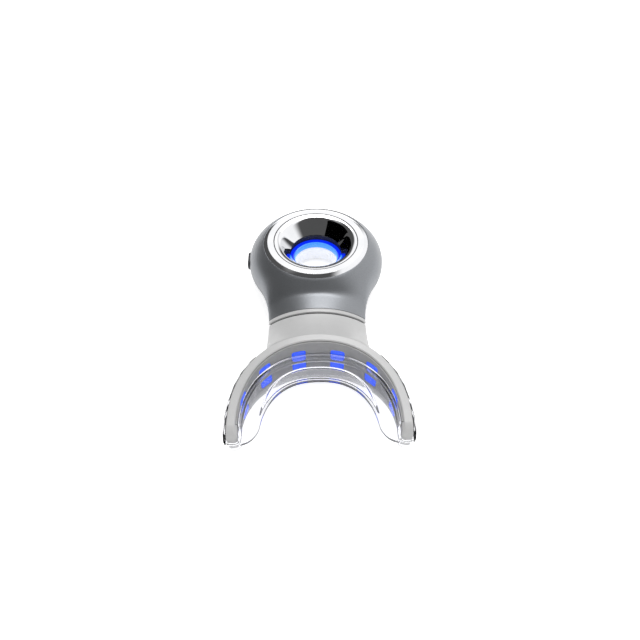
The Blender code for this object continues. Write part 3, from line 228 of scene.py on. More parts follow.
POCKET_MARGIN = 0.4 * MM
POCKET_END = 4.2 * MM

# Clear bite tray; the skin on the light panel thins toward its upper edge, by offset and fall
SKIN = 0.0009
SKIN_FEATHER = ((0.00045, 0.0030), (0.00020, 0.0019), (-0.00005, 0.0009), (-0.00030, 0.0001),
                (-0.00045, 0.00005))
SKIN_DROP = 0.0016
SKIN_START_ARC = 0.0205
SKIN_ARM_STEPS = 40
SKIN_TURN_STEPS = 8
SKIN_FRONT_STEPS = 60
TIP_SKIN_RISE = 0.0021
FRONT_WALL_RISE = 0.0044
FRONT_WALL_START = 0.25 * MM
PLATE_TOP = 0.00085
PLATE_BOTTOM = -0.00035
PLATE_FRONT_WIDTH = 0.0096
PLATE_ARM_WIDTH = 0.0062
PLATE_WIDTH_ARC = 0.0460
PLATE_WIDTH_POWER = 2.2
PLATE_END_ARC = 0.0486
PLATE_END_ROUND = 0.0057
PLATE_END_SHARE = 0.98
PLATE_END_STEPS = 16
TONGUE_WALL_THICKNESS = 0.0010
TONGUE_WALL_SET_BACK = 0.0009
TONGUE_WALL_RISE = 0.0070
TONGUE_WALL_ARC = 0.0375
TONGUE_WALL_POWER = 3.5

# Camera, worked out from the photograph's perspective
CAMERA_LENS = 28.0
CAMERA_SENSOR = 36.0
CAMERA_SIDE = -0.00142
CAMERA_BACK = 0.1580
CAMERA_UP = 0.1475
CAMERA_PITCH = math.radians(90 - 49.9)
CAMERA_TURN = math.radians(-1.14)

# Floor and light levels. The dark disc is a card on the left, by its turn, lift and fading radius in degrees.
FLOOR_SIZE = 4.0
FLOOR_DROP = 0.05 * MM
SOFT_LEVEL = 0.55
ROOM_LEVEL = 0.09
RIGHT_LEVEL = 1.15
BACK_LEVEL = 1.2
CEILING_LEVEL = 0.45
HORIZON_LEVEL = 0.7
CLEAR_LEVEL = 0.4
FLOOR_GLOW = 0.65
DISC_TURN = -103
DISC_LIFT = 24
DISC_FADE = (35, 34)


# Materials

def linear(hex_colour):
    """Turn an sRGB hex colour into linear red, green, blue and a full alpha."""
    parts = [int(hex_colour[at:at + 2], 16) / 255 for at in (0, 2, 4)]
    return (*[part / 12.92 if part <= 0.04045 else ((part + 0.055) / 1.055) ** 2.4 for part in parts], 1.0)


def add_node(tree, kind, settings=None, links=None):
    """Add one node, give its settings and fill its inputs with values or with other nodes' outputs."""
    made = tree.nodes.new(kind)
    for name, value in (settings or {}).items():
        setattr(made, name, value)
    for name, value in (links or {}).items():
        if isinstance(value, bpy.types.NodeSocket):
            tree.links.new(value, made.inputs[name])
        else:
            made.inputs[name].default_value = value
    return made


def start_finish(name, dark, light, patch, rough, rough_patch, grain=None, **values):
    """Start a material whose colour drifts between two close tones and whose roughness varies in a range.

    The patches are the sizes of the drift. grain gives a fine bump its size and its height.
    """
    made = bpy.data.materials.new(name)
    made.use_nodes = True
    tree = made.node_tree
    shader = tree.nodes["Principled BSDF"]
    for socket, value in values.items():
        shader.inputs[socket.replace("_", " ")].default_value = value
    place = add_node(tree, "ShaderNodeTexCoord").outputs["Object"]
    tones = add_node(tree, "ShaderNodeTexNoise", links={
        "Vector": place, "Scale": 1 / patch, "Detail": 2.0})
    ramp = add_node(tree, "ShaderNodeValToRGB", links={"Fac": tones.outputs["Fac"]})
    for stop, position, tone in zip(ramp.color_ramp.elements, (0.3, 0.7), (dark, light)):
        stop.position = position
        stop.color = linear(tone)
    tree.links.new(ramp.outputs["Color"], shader.inputs["Base Color"])
    wear = add_node(tree, "ShaderNodeTexNoise", links={
        "Vector": place, "Scale": 1 / rough_patch, "Detail": 2.0})
    spread = add_node(tree, "ShaderNodeMapRange", links={
        "Value": wear.outputs["Fac"], "To Min": rough[0], "To Max": rough[1]})
    tree.links.new(spread.outputs["Result"], shader.inputs["Roughness"])
    if grain:
        pits = add_node(tree, "ShaderNodeTexNoise", links={
            "Vector": place, "Scale": 1 / grain[0], "Detail": 2.0})
        bump = add_node(tree, "ShaderNodeBump", links={
            "Height": pits.outputs["Fac"], "Distance": grain[1]})
        tree.links.new(bump.outputs["Normal"], shader.inputs["Normal"])
    return made, tree, shader, place


def satin_silver_paint():
    """Metallic paint sprayed on moulded ABS: fine flakes give a soft, slightly grainy sheen.

    Real flakes are too fine to show, so they are drawn 0.25 mm across.
    """
    return start_finish("satin_silver_paint", "85878b", "929599", patch=0.25 * MM, rough=(0.36, 0.40),
                        rough_patch=6 * MM, grain=(0.25 * MM, 0.004 * MM), Metallic=0.72)[0]


def polished_chrome():
    """Plated and polished metal: a mirror, with faint waves where it was buffed."""
    return start_finish("polished_chrome", "e4e5e7", "eeeef0", patch=8 * MM, rough=(0.025, 0.05),
                        rough_patch=3 * MM, Metallic=1.0)[0]


def moulded_abs(name, dark, light, rough, grain_height, **values):
    """Moulded ABS: even colour, a soft gloss and a very fine spark-eroded grain.

    The real grain is too fine to show, so it is drawn 0.3 mm wide.
    """
    return start_finish(name, dark, light, patch=3 * MM, rough=rough, rough_patch=2 * MM,
                        grain=(0.3 * MM, grain_height), IOR=1.5, **values)[0]


def lit_lens():
    """Frosted polycarbonate lens lit from behind: even blue that drifts a little."""
    made, tree, shader, place = start_finish(
        "lit_polycarbonate_lens", "060c30", "0a1240", patch=1 * MM, rough=(0.30, 0.36), rough_patch=1 * MM,
        IOR=1.58, Specular_IOR_Level=0.25, Emission_Strength=0.95)
    glow = add_node(tree, "ShaderNodeTexNoise", links={
        "Vector": place, "Scale": 1 / (3 * MM), "Detail": 1.0})
    ramp = add_node(tree, "ShaderNodeValToRGB", links={"Fac": glow.outputs["Fac"]})
    ramp.color_ramp.elements[0].color = linear("2553ff")
    ramp.color_ramp.elements[1].color = linear("3a66ff")
    tree.links.new(ramp.outputs["Color"], shader.inputs["Emission Color"])
    return made


def light_guide_acrylic():
    """Clear acrylic light guide: deep blue on its face, paler down its bore."""
    made, tree, shader, place = start_finish(
        "light_guide_acrylic", "030d30", "04103a", patch=2 * MM, rough=(0.10, 0.14), rough_patch=2 * MM,
        IOR=1.49, Emission_Strength=0.95)
    flat = add_node(tree, "ShaderNodeVectorMath", {"operation": "MULTIPLY_ADD"}, {
        0: place, 1: (1, 1, 0), 2: (0, -HEAD_Y, 0)})
    radius = add_node(tree, "ShaderNodeVectorMath", {"operation": "LENGTH"}, {0: flat.outputs["Vector"]})
    share = add_node(tree, "ShaderNodeMapRange", links={
        "Value": radius.outputs["Value"], "From Min": GUIDE_BORE_RADIUS, "From Max": GUIDE_RADIUS})
    ramp = add_node(tree, "ShaderNodeValToRGB", links={"Fac": share.outputs["Result"]})
    for stop, position, tone in zip(ramp.color_ramp.elements, (0.10, 0.28), ("3c9bff", "052dff")):
        stop.position = position
        stop.color = linear(tone)
    tree.links.new(ramp.outputs["Color"], shader.inputs["Emission Color"])
    return made


def clear_silicone():
    """Liquid silicone rubber: water clear, soft gloss, with a faint ripple from the mould."""
    return start_finish("clear_silicone", "f8f9fb", "fdfdff", patch=6 * MM, rough=(0.01, 0.04),
                        rough_patch=5 * MM, grain=(9 * MM, 0.01 * MM), IOR=1.41, Transmission_Weight=1.0)[0]


def matt_rubber():
    """Moulded silicone rubber seal: dark, dull and slightly dusty."""
    return start_finish("matt_rubber", "2c2d2f", "37383a", patch=2 * MM, rough=(0.55, 0.7),
                        rough_patch=1 * MM, IOR=1.45)[0]


def solder_mask_board():
    """Glass epoxy board: green mask with slightly raised tracks under it."""
    made, tree, shader, place = start_finish(
        "solder_mask_board", "14532d", "185c33", patch=2 * MM, rough=(0.3, 0.42), rough_patch=2 * MM, IOR=1.5)
    tracks = add_node(tree, "ShaderNodeTexBrick", {"offset": 0.5}, {
        "Vector": place, "Color1": linear("14532d"), "Color2": linear("185c33"), "Mortar": linear("2c7a45"),
        "Scale": 1.0, "Mortar Size": 0.12 * MM, "Brick Width": 3.2 * MM, "Row Height": 0.9 * MM})
    tree.links.new(tracks.outputs["Color"], shader.inputs["Base Color"])
    bump = add_node(tree, "ShaderNodeBump", links={"Height": tracks.outputs["Fac"], "Distance": 0.02 * MM})
    tree.links.new(bump.outputs["Normal"], shader.inputs["Normal"])
    return made


def polyimide_film():
    """Amber film board: copper shows through in fine parallel lines."""
    made, tree, shader, place = start_finish(
        "polyimide_film", "8a4a14", "a5591a", patch=2 * MM, rough=(0.25, 0.4), rough_patch=2 * MM, IOR=1.6)
    lines = add_node(tree, "ShaderNodeTexWave", {"bands_direction": "Z"}, {
        "Vector": place, "Scale": 1 / (2 * math.pi * 0.4 * MM), "Distortion": 0.0})
    ramp = add_node(tree, "ShaderNodeValToRGB", links={"Fac": lines.outputs["Fac"]})
    for stop, position, tone in zip(ramp.color_ramp.elements, (0.35, 0.65), ("8a4a14", "b8681f")):
        stop.position = position
        stop.color = linear(tone)
    tree.links.new(ramp.outputs["Color"], shader.inputs["Base Color"])
    return made


def foil_pouch():
    """Laminated aluminium foil round the cell: crinkled and dully bright."""
    return start_finish("foil_pouch", "b4b5b8", "c9cacc", patch=2 * MM, rough=(0.3, 0.45),
                        rough_patch=1.5 * MM, grain=(1.2 * MM, 0.05 * MM), Metallic=0.9)[0]


def nickel_steel():
    """Nickel plated steel: bright, with fine turning marks."""
    return start_finish("nickel_plated_steel", "bcbbb7", "c6c5c1", patch=3 * MM, rough=(0.24, 0.30),
                        rough_patch=1.5 * MM, Metallic=1.0)[0]


def gold_flash():
    """Hard gold flash on brass contacts: warm and softly polished."""
    return start_finish("gold_flash", "d9a648", "e6b75c", patch=0.8 * MM, rough=(0.18, 0.3),
                        rough_patch=0.4 * MM, Metallic=1.0)[0]


def lamp_resin():
    """Small lamp chips: milky resin with a blue cast."""
    return start_finish("lamp_resin", "a9c2ff", "c6d6ff", patch=0.6 * MM, rough=(0.28, 0.34),
                        rough_patch=0.6 * MM, IOR=1.5, Emission_Color=linear("5f8cff"),
                        Emission_Strength=0.6)[0]


silver = satin_silver_paint()
chrome = polished_chrome()
pale_abs = moulded_abs("pale_moulded_abs", "c6c6c6", "c9c9c9", (0.28, 0.30), 0.0006 * MM)
panel_abs = moulded_abs("grey_moulded_panel", "a0a0a0", "a6a6a6", (0.36, 0.44), 0.002 * MM)
# The sleeve is given a faint painted glow, which stands in for light from the ring
sleeve_abs_painted_glow = moulded_abs("white_sleeve_painted_glow", "dededd", "e8e8e8", (0.32, 0.42), 0.002 * MM,
                         Emission_Strength=0.35)
# The key's etched texture is coarser
dark_abs = moulded_abs("dark_moulded_abs", "38393c", "434447", (0.38, 0.48), 0.006 * MM)
lens_blue = lit_lens()
guide_blue = light_guide_acrylic()
silicone = clear_silicone()
rubber = matt_rubber()
board_green = solder_mask_board()
film_amber = polyimide_film()
foil = foil_pouch()
steel = nickel_steel()
gold = gold_flash()
resin = lamp_resin()


# Making pieces

def y_at(reach):
    """Y of a reach from the head's centre."""
    return HEAD_Y - reach


def z_at(rise):
    """Z of a rise from the parting plane."""
    return MID_HEIGHT + rise


def make_object(name, shape, sharp_degrees=30):
    """Turn a bmesh into an object, with its doubles merged and its faces pointing out."""
    bmesh.ops.remove_doubles(shape, verts=shape.verts, dist=MERGE_DISTANCE)
    bmesh.ops.recalc_face_normals(shape, faces=shape.faces)
    mesh = bpy.data.meshes.new(name)
    shape.to_mesh(mesh)
    shape.free()
    made = bpy.data.objects.new(name, mesh)
    bpy.context.scene.collection.objects.link(made)
    shade(made, sharp_degrees)
    return made


def shade(piece, sharp_degrees):
    """Shade a piece smooth, apart from the edges that are sharper than an angle."""
    piece.data.shade_smooth()
    piece.data.set_sharp_from_angle(angle=math.radians(sharp_degrees))


def settle(piece):
    """Keep the result of a piece's modifiers as its mesh."""
    graph = bpy.context.evaluated_depsgraph_get()
    result = bpy.data.meshes.new_from_object(piece.evaluated_get(graph))
    piece.modifiers.clear()
    piece.data = result


def carve(piece, cutter, operation="DIFFERENCE", crossing=False):
    """Cut a piece with a solid, or join the solid to it, and throw the solid away."""
    step = piece.modifiers.new("carve", "BOOLEAN")
    step.operation = operation
    step.object = cutter
    step.solver = "EXACT"
    step.use_self = crossing
    settle(piece)
    bpy.data.objects.remove(cutter, do_unlink=True)


def soften(piece, width, segments, angle):
    """Round a piece's edges that are sharper than an angle in degrees."""
    step = piece.modifiers.new("soften", "BEVEL")
    step.width = width
    step.segments = segments
    step.limit_method = "ANGLE"
    step.angle_limit = math.radians(angle)
    step.harden_normals = False
    settle(piece)


def even_normals(piece):
    """Let flat faces keep their own shading beside rounded edges, so that clear ones bend light evenly."""
    step = piece.modifiers.new("even", "WEIGHTED_NORMAL")
    step.mode = "FACE_AREA"
    step.weight = 100
    step.keep_sharp = True
    settle(piece)


def dress(piece, finish, body, slot, *nodes):
    """Finish a piece, fix it to a body and hide the nodes that it stands for."""
    piece.data.materials.clear()
    piece.data.materials.append(finish)
    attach(piece, body)
    if nodes:
        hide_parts(*nodes)
    return piece


def sweep(count, stations, place, caps=True, closed=False):
    """Push a ring of edges from station to station. place gives each step's point at a station."""
    shape = bmesh.new()
    step_layer = shape.verts.layers.int.new("step")
    ring = bmesh.ops.create_circle(shape, segments=count, radius=1.0)["verts"]
    for step, vertex in enumerate(ring):
        vertex[step_layer] = step
        vertex.co = place(stations[0], step)
    edges = shape.edges[:]
    first = list(edges)
    for station in stations[1:]:
        made = bmesh.ops.extrude_edge_only(shape, edges=edges)["geom"]
        edges = [part for part in made if isinstance(part, bmesh.types.BMEdge)]
        for part in made:
            if isinstance(part, bmesh.types.BMVert):
                part.co = place(station, part[step_layer])
    if closed:
        bmesh.ops.bridge_loops(shape, edges=first + edges)
    elif caps:
        bmesh.ops.contextual_create(shape, geom=first)
        bmesh.ops.contextual_create(shape, geom=edges)
    return shape


def turned(profile, round_by=0.0, segments=2):
    """Spin a closed outline of radius and rise about the head's axis, with its corners rounded."""
    shape = bmesh.new()
    shape.faces.new([shape.verts.new((radius, HEAD_Y, z_at(rise))) for radius, rise in profile])
    if round_by:
        bmesh.ops.bevel(shape, geom=shape.verts[:], offset=round_by, offset_type="OFFSET",
                        segments=segments, profile=0.5, affect="VERTICES", material=-1, clamp_overlap=True)
    bmesh.ops.delete(shape, geom=shape.faces[:], context="FACES_ONLY")
    bmesh.ops.spin(shape, geom=shape.verts[:] + shape.edges[:], cent=(0, HEAD_Y, 0), axis=(0, 0, 1),
                   angle=math.tau, steps=TURN_STEPS, use_merge=True)
    return shape


def arc_points(centre, radius, start, end, steps):
    """Points of a round stretch of an outline, between two angles in degrees."""
    turns = [math.radians(start + (end - start) * step / steps) for step in range(steps + 1)]
    return [(centre[0] + radius * math.cos(turn), centre[1] + radius * math.sin(turn)) for turn in turns]


def rounded_outline(width, height, corner, segments):
    """Corner-rounded rectangle about zero, as pairs of across and up."""
    points = []
    for quarter, (right, up) in enumerate(((1, 1), (-1, 1), (-1, -1), (1, -1))):
        centre = (right * (width / 2 - corner), up * (height / 2 - corner))
        points += arc_points(centre, corner, 90 * quarter, 90 * quarter + 90, segments)
    return points


# Form of the head and the neck

def lens_rise(x, half_width, half_height):
    """Rise at x of an arc that spans a width and crowns at a height."""
    radius = (half_width ** 2 + half_height ** 2) / (2 * half_height)
    return math.sqrt(max(radius ** 2 - x ** 2, 0)) - (radius - half_height)


def plan_half_width(reach):
    """Head circle that runs into a hollow arc down to the parallel neck."""
    hollow = (NECK_PARALLEL_REACH ** 2 / (HEAD_RADIUS - NECK_HALF_WIDTH) - HEAD_RADIUS - NECK_HALF_WIDTH) / 2
    tangent_reach = HEAD_RADIUS * NECK_PARALLEL_REACH / (HEAD_RADIUS + hollow)
    if reach < tangent_reach:
        return math.sqrt(max(HEAD_RADIUS ** 2 - reach ** 2, 0))
    return NECK_HALF_WIDTH + hollow - math.sqrt(hollow ** 2 - (NECK_PARALLEL_REACH - reach) ** 2)


def half_height_at(reach):
    """Rise of the head's crown, running into the neck's."""
    head = HEAD_HALF_HEIGHT * math.sqrt(max(1 - (reach / HEAD_RADIUS) ** 2, 0))
    if reach <= 0:
        return head
    fade = min(reach / HEAD_SECTION_REACH, 1)
    power = HEIGHT_BLEND_POWER
    return (head ** power + (fade * NECK_HALF_HEIGHT) ** power) ** (1 / power)


def surface_rise(x, reach):
    """Rise of the head's and neck's surface over a place in plan."""
    half_width = max(plan_half_width(reach), 1e-6)
    half_height = half_height_at(reach)
    run = min(max((reach - HEAD_SECTION_REACH) / (NECK_REACH - HEAD_SECTION_REACH), 0), 1)
    round_share = 1 - (1 - NECK_ROUND_SHARE) * run * run * (3 - 2 * run)
    share = min(abs(x) / half_width, 1)
    rise = round_share * half_height * math.sqrt(1 - share * share)
    if round_share < 1:
        rise += (1 - round_share) * max(lens_rise(x, half_width, half_height), 0)
    return rise


def lens_point(step, count, inset):
    """A point of the neck's section at the seam, drawn in by an inset."""
    turn = math.tau * step / count
    half_width = NECK_HALF_WIDTH - inset
    half_height = NECK_HALF_HEIGHT - inset
    x = half_width * math.cos(turn)
    rise = NECK_ROUND_SHARE * half_height * abs(math.sin(turn))
    rise += (1 - NECK_ROUND_SHARE) * max(lens_rise(x, half_width, half_height), 0)
    return x, math.copysign(rise, math.sin(turn))


NECK_CORNER = math.atan2(plan_half_width(NECK_REACH), NECK_REACH)


def shell_turn(step):
    """Direction of a step round the head: first across the seam, then round the rest."""
    if step < NECK_STEPS:
        return -NECK_CORNER + 2 * NECK_CORNER * step / NECK_STEPS
    return NECK_CORNER + (math.tau - 2 * NECK_CORNER) * (step - NECK_STEPS) / HEAD_STEPS


def shell_limit(turn):
    """How far the housing goes in one direction from the head's centre."""
    if abs(turn) <= NECK_CORNER + 1e-9:
        return NECK_REACH / math.cos(turn)
    inside, outside = TRIM_RADIUS, 1.6 * HEAD_RADIUS
    for _ in range(40):
        middle = (inside + outside) / 2
        if abs(middle * math.sin(turn)) <= plan_half_width(middle * math.cos(turn)):
            inside = middle
        else:
            outside = middle
    return inside


SHELL_LIMITS = [shell_limit(shell_turn(step)) for step in range(NECK_STEPS + HEAD_STEPS)]


def shell_point(station, step, side):
    """A point of the housing's skin: station 0 is the recess for the trim and 1 the outline."""
    turn = shell_turn(step)
    inner = TRIM_RADIUS + SEAM
    limit = SHELL_LIMITS[step]
    start = math.asin(inner / limit)
    radius = limit * math.sin(start + (math.pi / 2 - start) * station)
    x = radius * math.sin(turn)
    reach = radius * math.cos(turn)
    rise = max(surface_rise(x, reach), SEAM / 2)
    return Vector((x, y_at(reach), z_at(side * rise)))


def pill(length, height, x_low, x_high, grow=0.0):
    """A bar along X with a round-ended section, as the button and its hole have."""
    outline = rounded_outline(length + 2 * grow, height + 2 * grow, (height / 2 + grow) * ROUND_END_SHARE,
                              ROUND_END_STEPS)
    return sweep(len(outline), [x_low, x_high],
                 lambda x, step: Vector((x, HEAD_Y + outline[step][0], z_at(outline[step][1]))))


def socket_bar(width, height, y_low, y_high):
    """A bar along Y with a round-ended section, as the charging socket has."""
    outline = rounded_outline(width, height, height / 2 * ROUND_END_SHARE, ROUND_END_STEPS)
    return sweep(len(outline), [y_low, y_high],
                 lambda y, step: Vector((outline[step][0], y, z_at(SOCKET_RISE + outline[step][1]))))


def housing(name, side):
    """One moulded half: its skin from the trim's recess to the parting line, given its wall."""
    stations = [step / SHELL_STATIONS for step in range(SHELL_STATIONS + 1)]
    shape = sweep(NECK_STEPS + HEAD_STEPS, stations,
                  lambda station, step: shell_point(station, step, side), caps=False)
    shell = make_object(name, shape, 60)
    if side * sum(face.normal.z for face in shell.data.polygons) < 0:
        shell.data.flip_normals()
    wall = shell.modifiers.new("wall", "SOLIDIFY")
    wall.thickness = HOUSING_WALL
    wall.offset = -1
    settle(shell)
    # At the neck's thin sides the wall would reach into the other half, so it ends at the parting plane
    size = 8 * HEAD_RADIUS
    middle = z_at(side * (SEAM / 2 - PARTING_LAP - size / 2))
    block = bmesh.new()
    bmesh.ops.create_cube(block, size=size)
    bmesh.ops.translate(block, verts=block.verts, vec=(0, 0, middle))
    carve(shell, make_object("other_half", block), crossing=True)
    soften(shell, HOUSING_EDGE, 2, 50)
    outside = -(HEAD_RADIUS + 2 * OVERSHOOT)
    carve(shell, make_object("button_hole", pill(
        BUTTON_LENGTH, BUTTON_HEIGHT, outside, -BUTTON_HOLE_SHARE * HEAD_RADIUS, SEAM)))
    mouth = HEAD_Y + HEAD_RADIUS
    carve(shell, make_object("socket_hole", socket_bar(
        SOCKET_WIDTH + 2 * SEAM, SOCKET_HEIGHT + 2 * SEAM, mouth - SOCKET_HOLE, mouth + 2 * OVERSHOOT)))
    shade(shell, 65)
    return dress(shell, silver, "handle", "silver_shell", name.replace("_shell", "_housing"))


housing("upper_shell", 1)
housing("lower_shell", -1)


# Turned parts of the head

def bowl_trim():
    """Bright dish: outer bevel, flat ring with a groove, rolled lip and a hollow wall down to the throat."""
    back = LIP_INNER_RADIUS + BOWL_THICKNESS
    hollow = LIP_INNER_RISE - BOWL_THICKNESS
    under = THROAT_RISE - THROAT_THICKNESS
    width = LIP_INNER_RADIUS - THROAT_RADIUS
    drop = LIP_INNER_RISE - THROAT_RISE
    groove = LIP_OUTER_RADIUS + GROOVE_WIDTH
    lip = BOWL_TOP_RISE - LIP_STEP
    profile = [(TRIM_RADIUS, BOWL_SEAT_RISE)]
    profile += [(TRIM_RADIUS - inward * MM, BOWL_EDGE_RISE + rise * MM) for inward, rise in BEVEL_EDGE]
    profile += [
        (CROWN_RADIUS + CROWN_ROUND, BOWL_TOP_RISE - CROWN_DROP), (CROWN_RADIUS, BOWL_TOP_RISE),
        (groove, BOWL_TOP_RISE), (groove, BOWL_TOP_RISE - GROOVE_DEPTH),
        (LIP_OUTER_RADIUS, BOWL_TOP_RISE - GROOVE_DEPTH), (LIP_OUTER_RADIUS, lip)]
    profile += [(LIP_OUTER_RADIUS + inward * (LIP_INNER_RADIUS - LIP_OUTER_RADIUS),
                 lip - down * (lip - LIP_INNER_RISE)) for inward, down in LIP_ROLL]
    for step in range(WALL_STEPS + 1):
        run = step / WALL_STEPS
        profile.append((LIP_INNER_RADIUS - run * width,
                        LIP_INNER_RISE - drop * (run + WALL_HOLLOW * math.sin(math.pi * run))))
    profile += [
        (THROAT_RADIUS + BOWL_THICKNESS, under), (back, hollow),
        (TRIM_RADIUS - BOWL_THICKNESS, hollow), (TRIM_RADIUS - BOWL_THICKNESS, BOWL_SEAT_RISE)]
    piece = make_object("bowl_trim", turned(profile), 16)
    return dress(piece, chrome, "handle", "mirror_trim", "top_bowl_trim")


def groove_painted_shade():
    """Fine dark ring in the groove where the dish meets its flat ring: painted shade, standing for the shadow
    down in the groove.
    """
    low = BOWL_TOP_RISE - GROOVE_DEPTH + LINE_LIFT
    high = BOWL_TOP_RISE - LINE_SINK
    inner = LIP_OUTER_RADIUS + LINE_SIDE_SHARE * GROOVE_WIDTH
    outer = LIP_OUTER_RADIUS + (1 - LINE_SIDE_SHARE) * GROOVE_WIDTH
    piece = make_object("groove_painted_shade", turned([(outer, low), (outer, high), (inner, high), (inner, low)]), 32)
    return dress(piece, rubber, "handle", "dark_rubber")


def shade_ring():
    """Dark rubber ring between the dish's throat and the light guide."""
    profile = [
        (SEAL_OUTER_RADIUS, GUIDE_FLANGE_RISE + GAP), (SEAL_OUTER_RADIUS, SEAL_TOP_RISE),
        (SEAL_INNER_RADIUS, SEAL_TOP_RISE), (SEAL_INNER_RADIUS, GUIDE_FLANGE_RISE + GAP)]
    piece = make_object("shade_ring", turned(profile, round_by=0.25 * MM, segments=4), 32)
    return dress(piece, rubber, "handle", "dark_rubber", "guide_seal")


def guide_ring():
    """Light guide: a short tube in the throat, on a flange that the lamps shine into."""
    profile = [
        (GUIDE_RADIUS, GUIDE_TOP_RISE), (GUIDE_BORE_RADIUS, GUIDE_TOP_RISE),
        (GUIDE_BORE_RADIUS, -GUIDE_BOTTOM_DROP), (GUIDE_FLANGE_RADIUS, -GUIDE_BOTTOM_DROP),
        (GUIDE_FLANGE_RADIUS, GUIDE_FLANGE_RISE), (GUIDE_RADIUS, GUIDE_FLANGE_RISE)]
    piece = make_object("guide_ring", turned(profile, round_by=0.12 * MM), 32)
    return dress(piece, guide_blue, "handle", "blue_light", "light_guide_ring")


def hole_sleeve():
    """Pale sleeve that widens downward in two shallow steps."""
    top = GUIDE_BOTTOM_DROP + GAP
    shoulder = SLEEVE_SHOULDER_DROP
    full = SLEEVE_END_RADIUS + SLEEVE_WALL
    neck = GUIDE_BORE_RADIUS + SLEEVE_NECK + SLEEVE_WALL
    profile = [(GUIDE_BORE_RADIUS + SLEEVE_START, -top)]
    profile += [(GUIDE_BORE_RADIUS + outward * MM, -down * MM) for outward, down in SLEEVE_BORE]
    profile += [
        (SLEEVE_END_RADIUS, -SLEEVE_END_DROP), (full, -SLEEVE_END_DROP), (full, -shoulder - SLEEVE_WALL),
        (full - GAP, -shoulder), (neck, -shoulder), (neck, -top)]
    piece = make_object("hole_sleeve", turned(profile, round_by=0.15 * MM), 40)
    return dress(piece, sleeve_abs_painted_glow, "handle", "pale_plastic", "throat_sleeve")


def rest_ring():
    """Foot ring: a bevelled outside, a flat face to rest on, and a lip that holds the sleeve."""
    roof = MID_HEIGHT - FOOT_WALL
    lip = SLEEVE_END_RADIUS + GAP
    top = SLEEVE_END_DROP + GAP
    profile = [
        (TRIM_RADIUS, -FOOT_SEAT_DROP), (TRIM_RADIUS, -FOOT_BEVEL_DROP), (FOOT_BEVEL_RADIUS, -MID_HEIGHT),
        (FOOT_INNER_RADIUS, -MID_HEIGHT), (lip, -top), (lip + FOOT_WALL, -top),
        (FOOT_INNER_RADIUS + FOOT_WALL / 2, -roof), (FOOT_BEVEL_RADIUS - FOOT_WALL / 2, -roof),
        (TRIM_RADIUS - FOOT_WALL, -FOOT_BEVEL_DROP + FOOT_WALL / 2),
        (TRIM_RADIUS - FOOT_WALL, -FOOT_SEAT_DROP)]
    piece = make_object("rest_ring", turned(profile, round_by=0.25 * MM, segments=3), 32)
    return dress(piece, pale_abs, "handle", "pale_plastic", "foot_ring")


bowl_trim()
groove_painted_shade()
shade_ring()
guide_ring()
hole_sleeve()
rest_ring()


# Button and socket

def power_button():
    """Pill-shaped cap with a softly rounded face, its flange and its stem."""
    face = -(HEAD_RADIUS + BUTTON_PROUD)
    flange = face + BUTTON_DEPTH
    stem = flange + BUTTON_FLANGE
    cap = make_object("power_key", pill(BUTTON_LENGTH, BUTTON_HEIGHT, face, flange))
    soften(cap, BUTTON_ROUND, 4, 50)
    carve(cap, make_object("flange", pill(
        BUTTON_LENGTH, BUTTON_HEIGHT, flange - GAP, stem, BUTTON_FLANGE)), "UNION")
    ends = [stem - GAP, stem - BUTTON_FLANGE + BUTTON_STEM_LENGTH]
    shaft = sweep(STEM_STEPS, ends, lambda x, step: Vector((
        x, HEAD_Y + BUTTON_STEM_RADIUS * math.cos(math.tau * step / STEM_STEPS),
        z_at(BUTTON_STEM_RADIUS * math.sin(math.tau * step / STEM_STEPS)))))
    carve(cap, make_object("shaft", shaft), "UNION")
    shade(cap, 35)
    return dress(cap, dark_abs, "power_button", "dark_plastic", "side_button")


def charging_socket():
    """Rolled steel shell with a dark tongue in it."""
    mouth = HEAD_Y + HEAD_RADIUS - SOCKET_SET_BACK
    shell = make_object("charging_port", socket_bar(
        SOCKET_WIDTH, SOCKET_HEIGHT, mouth - SOCKET_LENGTH, mouth))
    carve(shell, make_object("port_pocket", socket_bar(
        SOCKET_WIDTH - 2 * SOCKET_SHELL, SOCKET_HEIGHT - 2 * SOCKET_SHELL,
        mouth - SOCKET_POCKET, mouth + OVERSHOOT)))
    soften(shell, SOCKET_EDGE, 2, 60)
    shade(shell, 35)
    dress(shell, steel, "handle", "steel", "charge_socket")
    low = mouth - SOCKET_POCKET - TONGUE_ROOT
    outline = rounded_outline(TONGUE_WIDTH, TONGUE_THICKNESS, TONGUE_CORNER, 2)
    tongue = sweep(len(outline), [low, low + TONGUE_ROOT + TONGUE_LENGTH], lambda y, step: Vector((
        outline[step][0], y, z_at(SOCKET_RISE + outline[step][1]))))
    dress(make_object("port_tongue", tongue), dark_abs, "handle", "dark_plastic")


power_button()
charging_socket()


# Seam between the neck and the mouthpiece

def seam_point(station, step):
    """A point of a ring or plug in the seam, at a station of reach and inset."""
    reach, inset = station
    x, rise = lens_point(step, RING_STEPS, inset)
    return Vector((x, y_at(reach), z_at(rise)))


def seam_ring(name, stations, round_by):
    """A lens-shaped ring from stations of reach and inset, closed on itself, with rounded edges."""
    piece = make_object(name, sweep(RING_STEPS, stations, seam_point, closed=True), 40)
    soften(piece, round_by, 2, 50)
    shade(piece, 35)
    return piece


band = seam_ring("seam_band", [
    (BAND_REACH - SEAM_LAP, 0), (BAND_END_REACH, 0), (BAND_END_REACH, BORE_INSET),
    (SLEEVE_REACH, BORE_INSET), (SLEEVE_REACH, SLEEVE_INSET), (BAND_REACH - SEAM_LAP, SLEEVE_INSET)],
    BAND_EDGE)
dress(band, pale_abs, "handle", "pale_plastic", "neck_band")
gasket = seam_ring("seam_gasket", [
    (GASKET_REACH - GASKET_LAP, GASKET_INSET), (GASKET_END_REACH, GASKET_INSET),
    (GASKET_END_REACH, BORE_INSET), (GASKET_REACH - GASKET_LAP, BORE_INSET)], GASKET_EDGE)
dress(gasket, rubber, "mouthpiece", "dark_rubber", "seal_gasket")


# Path of the U

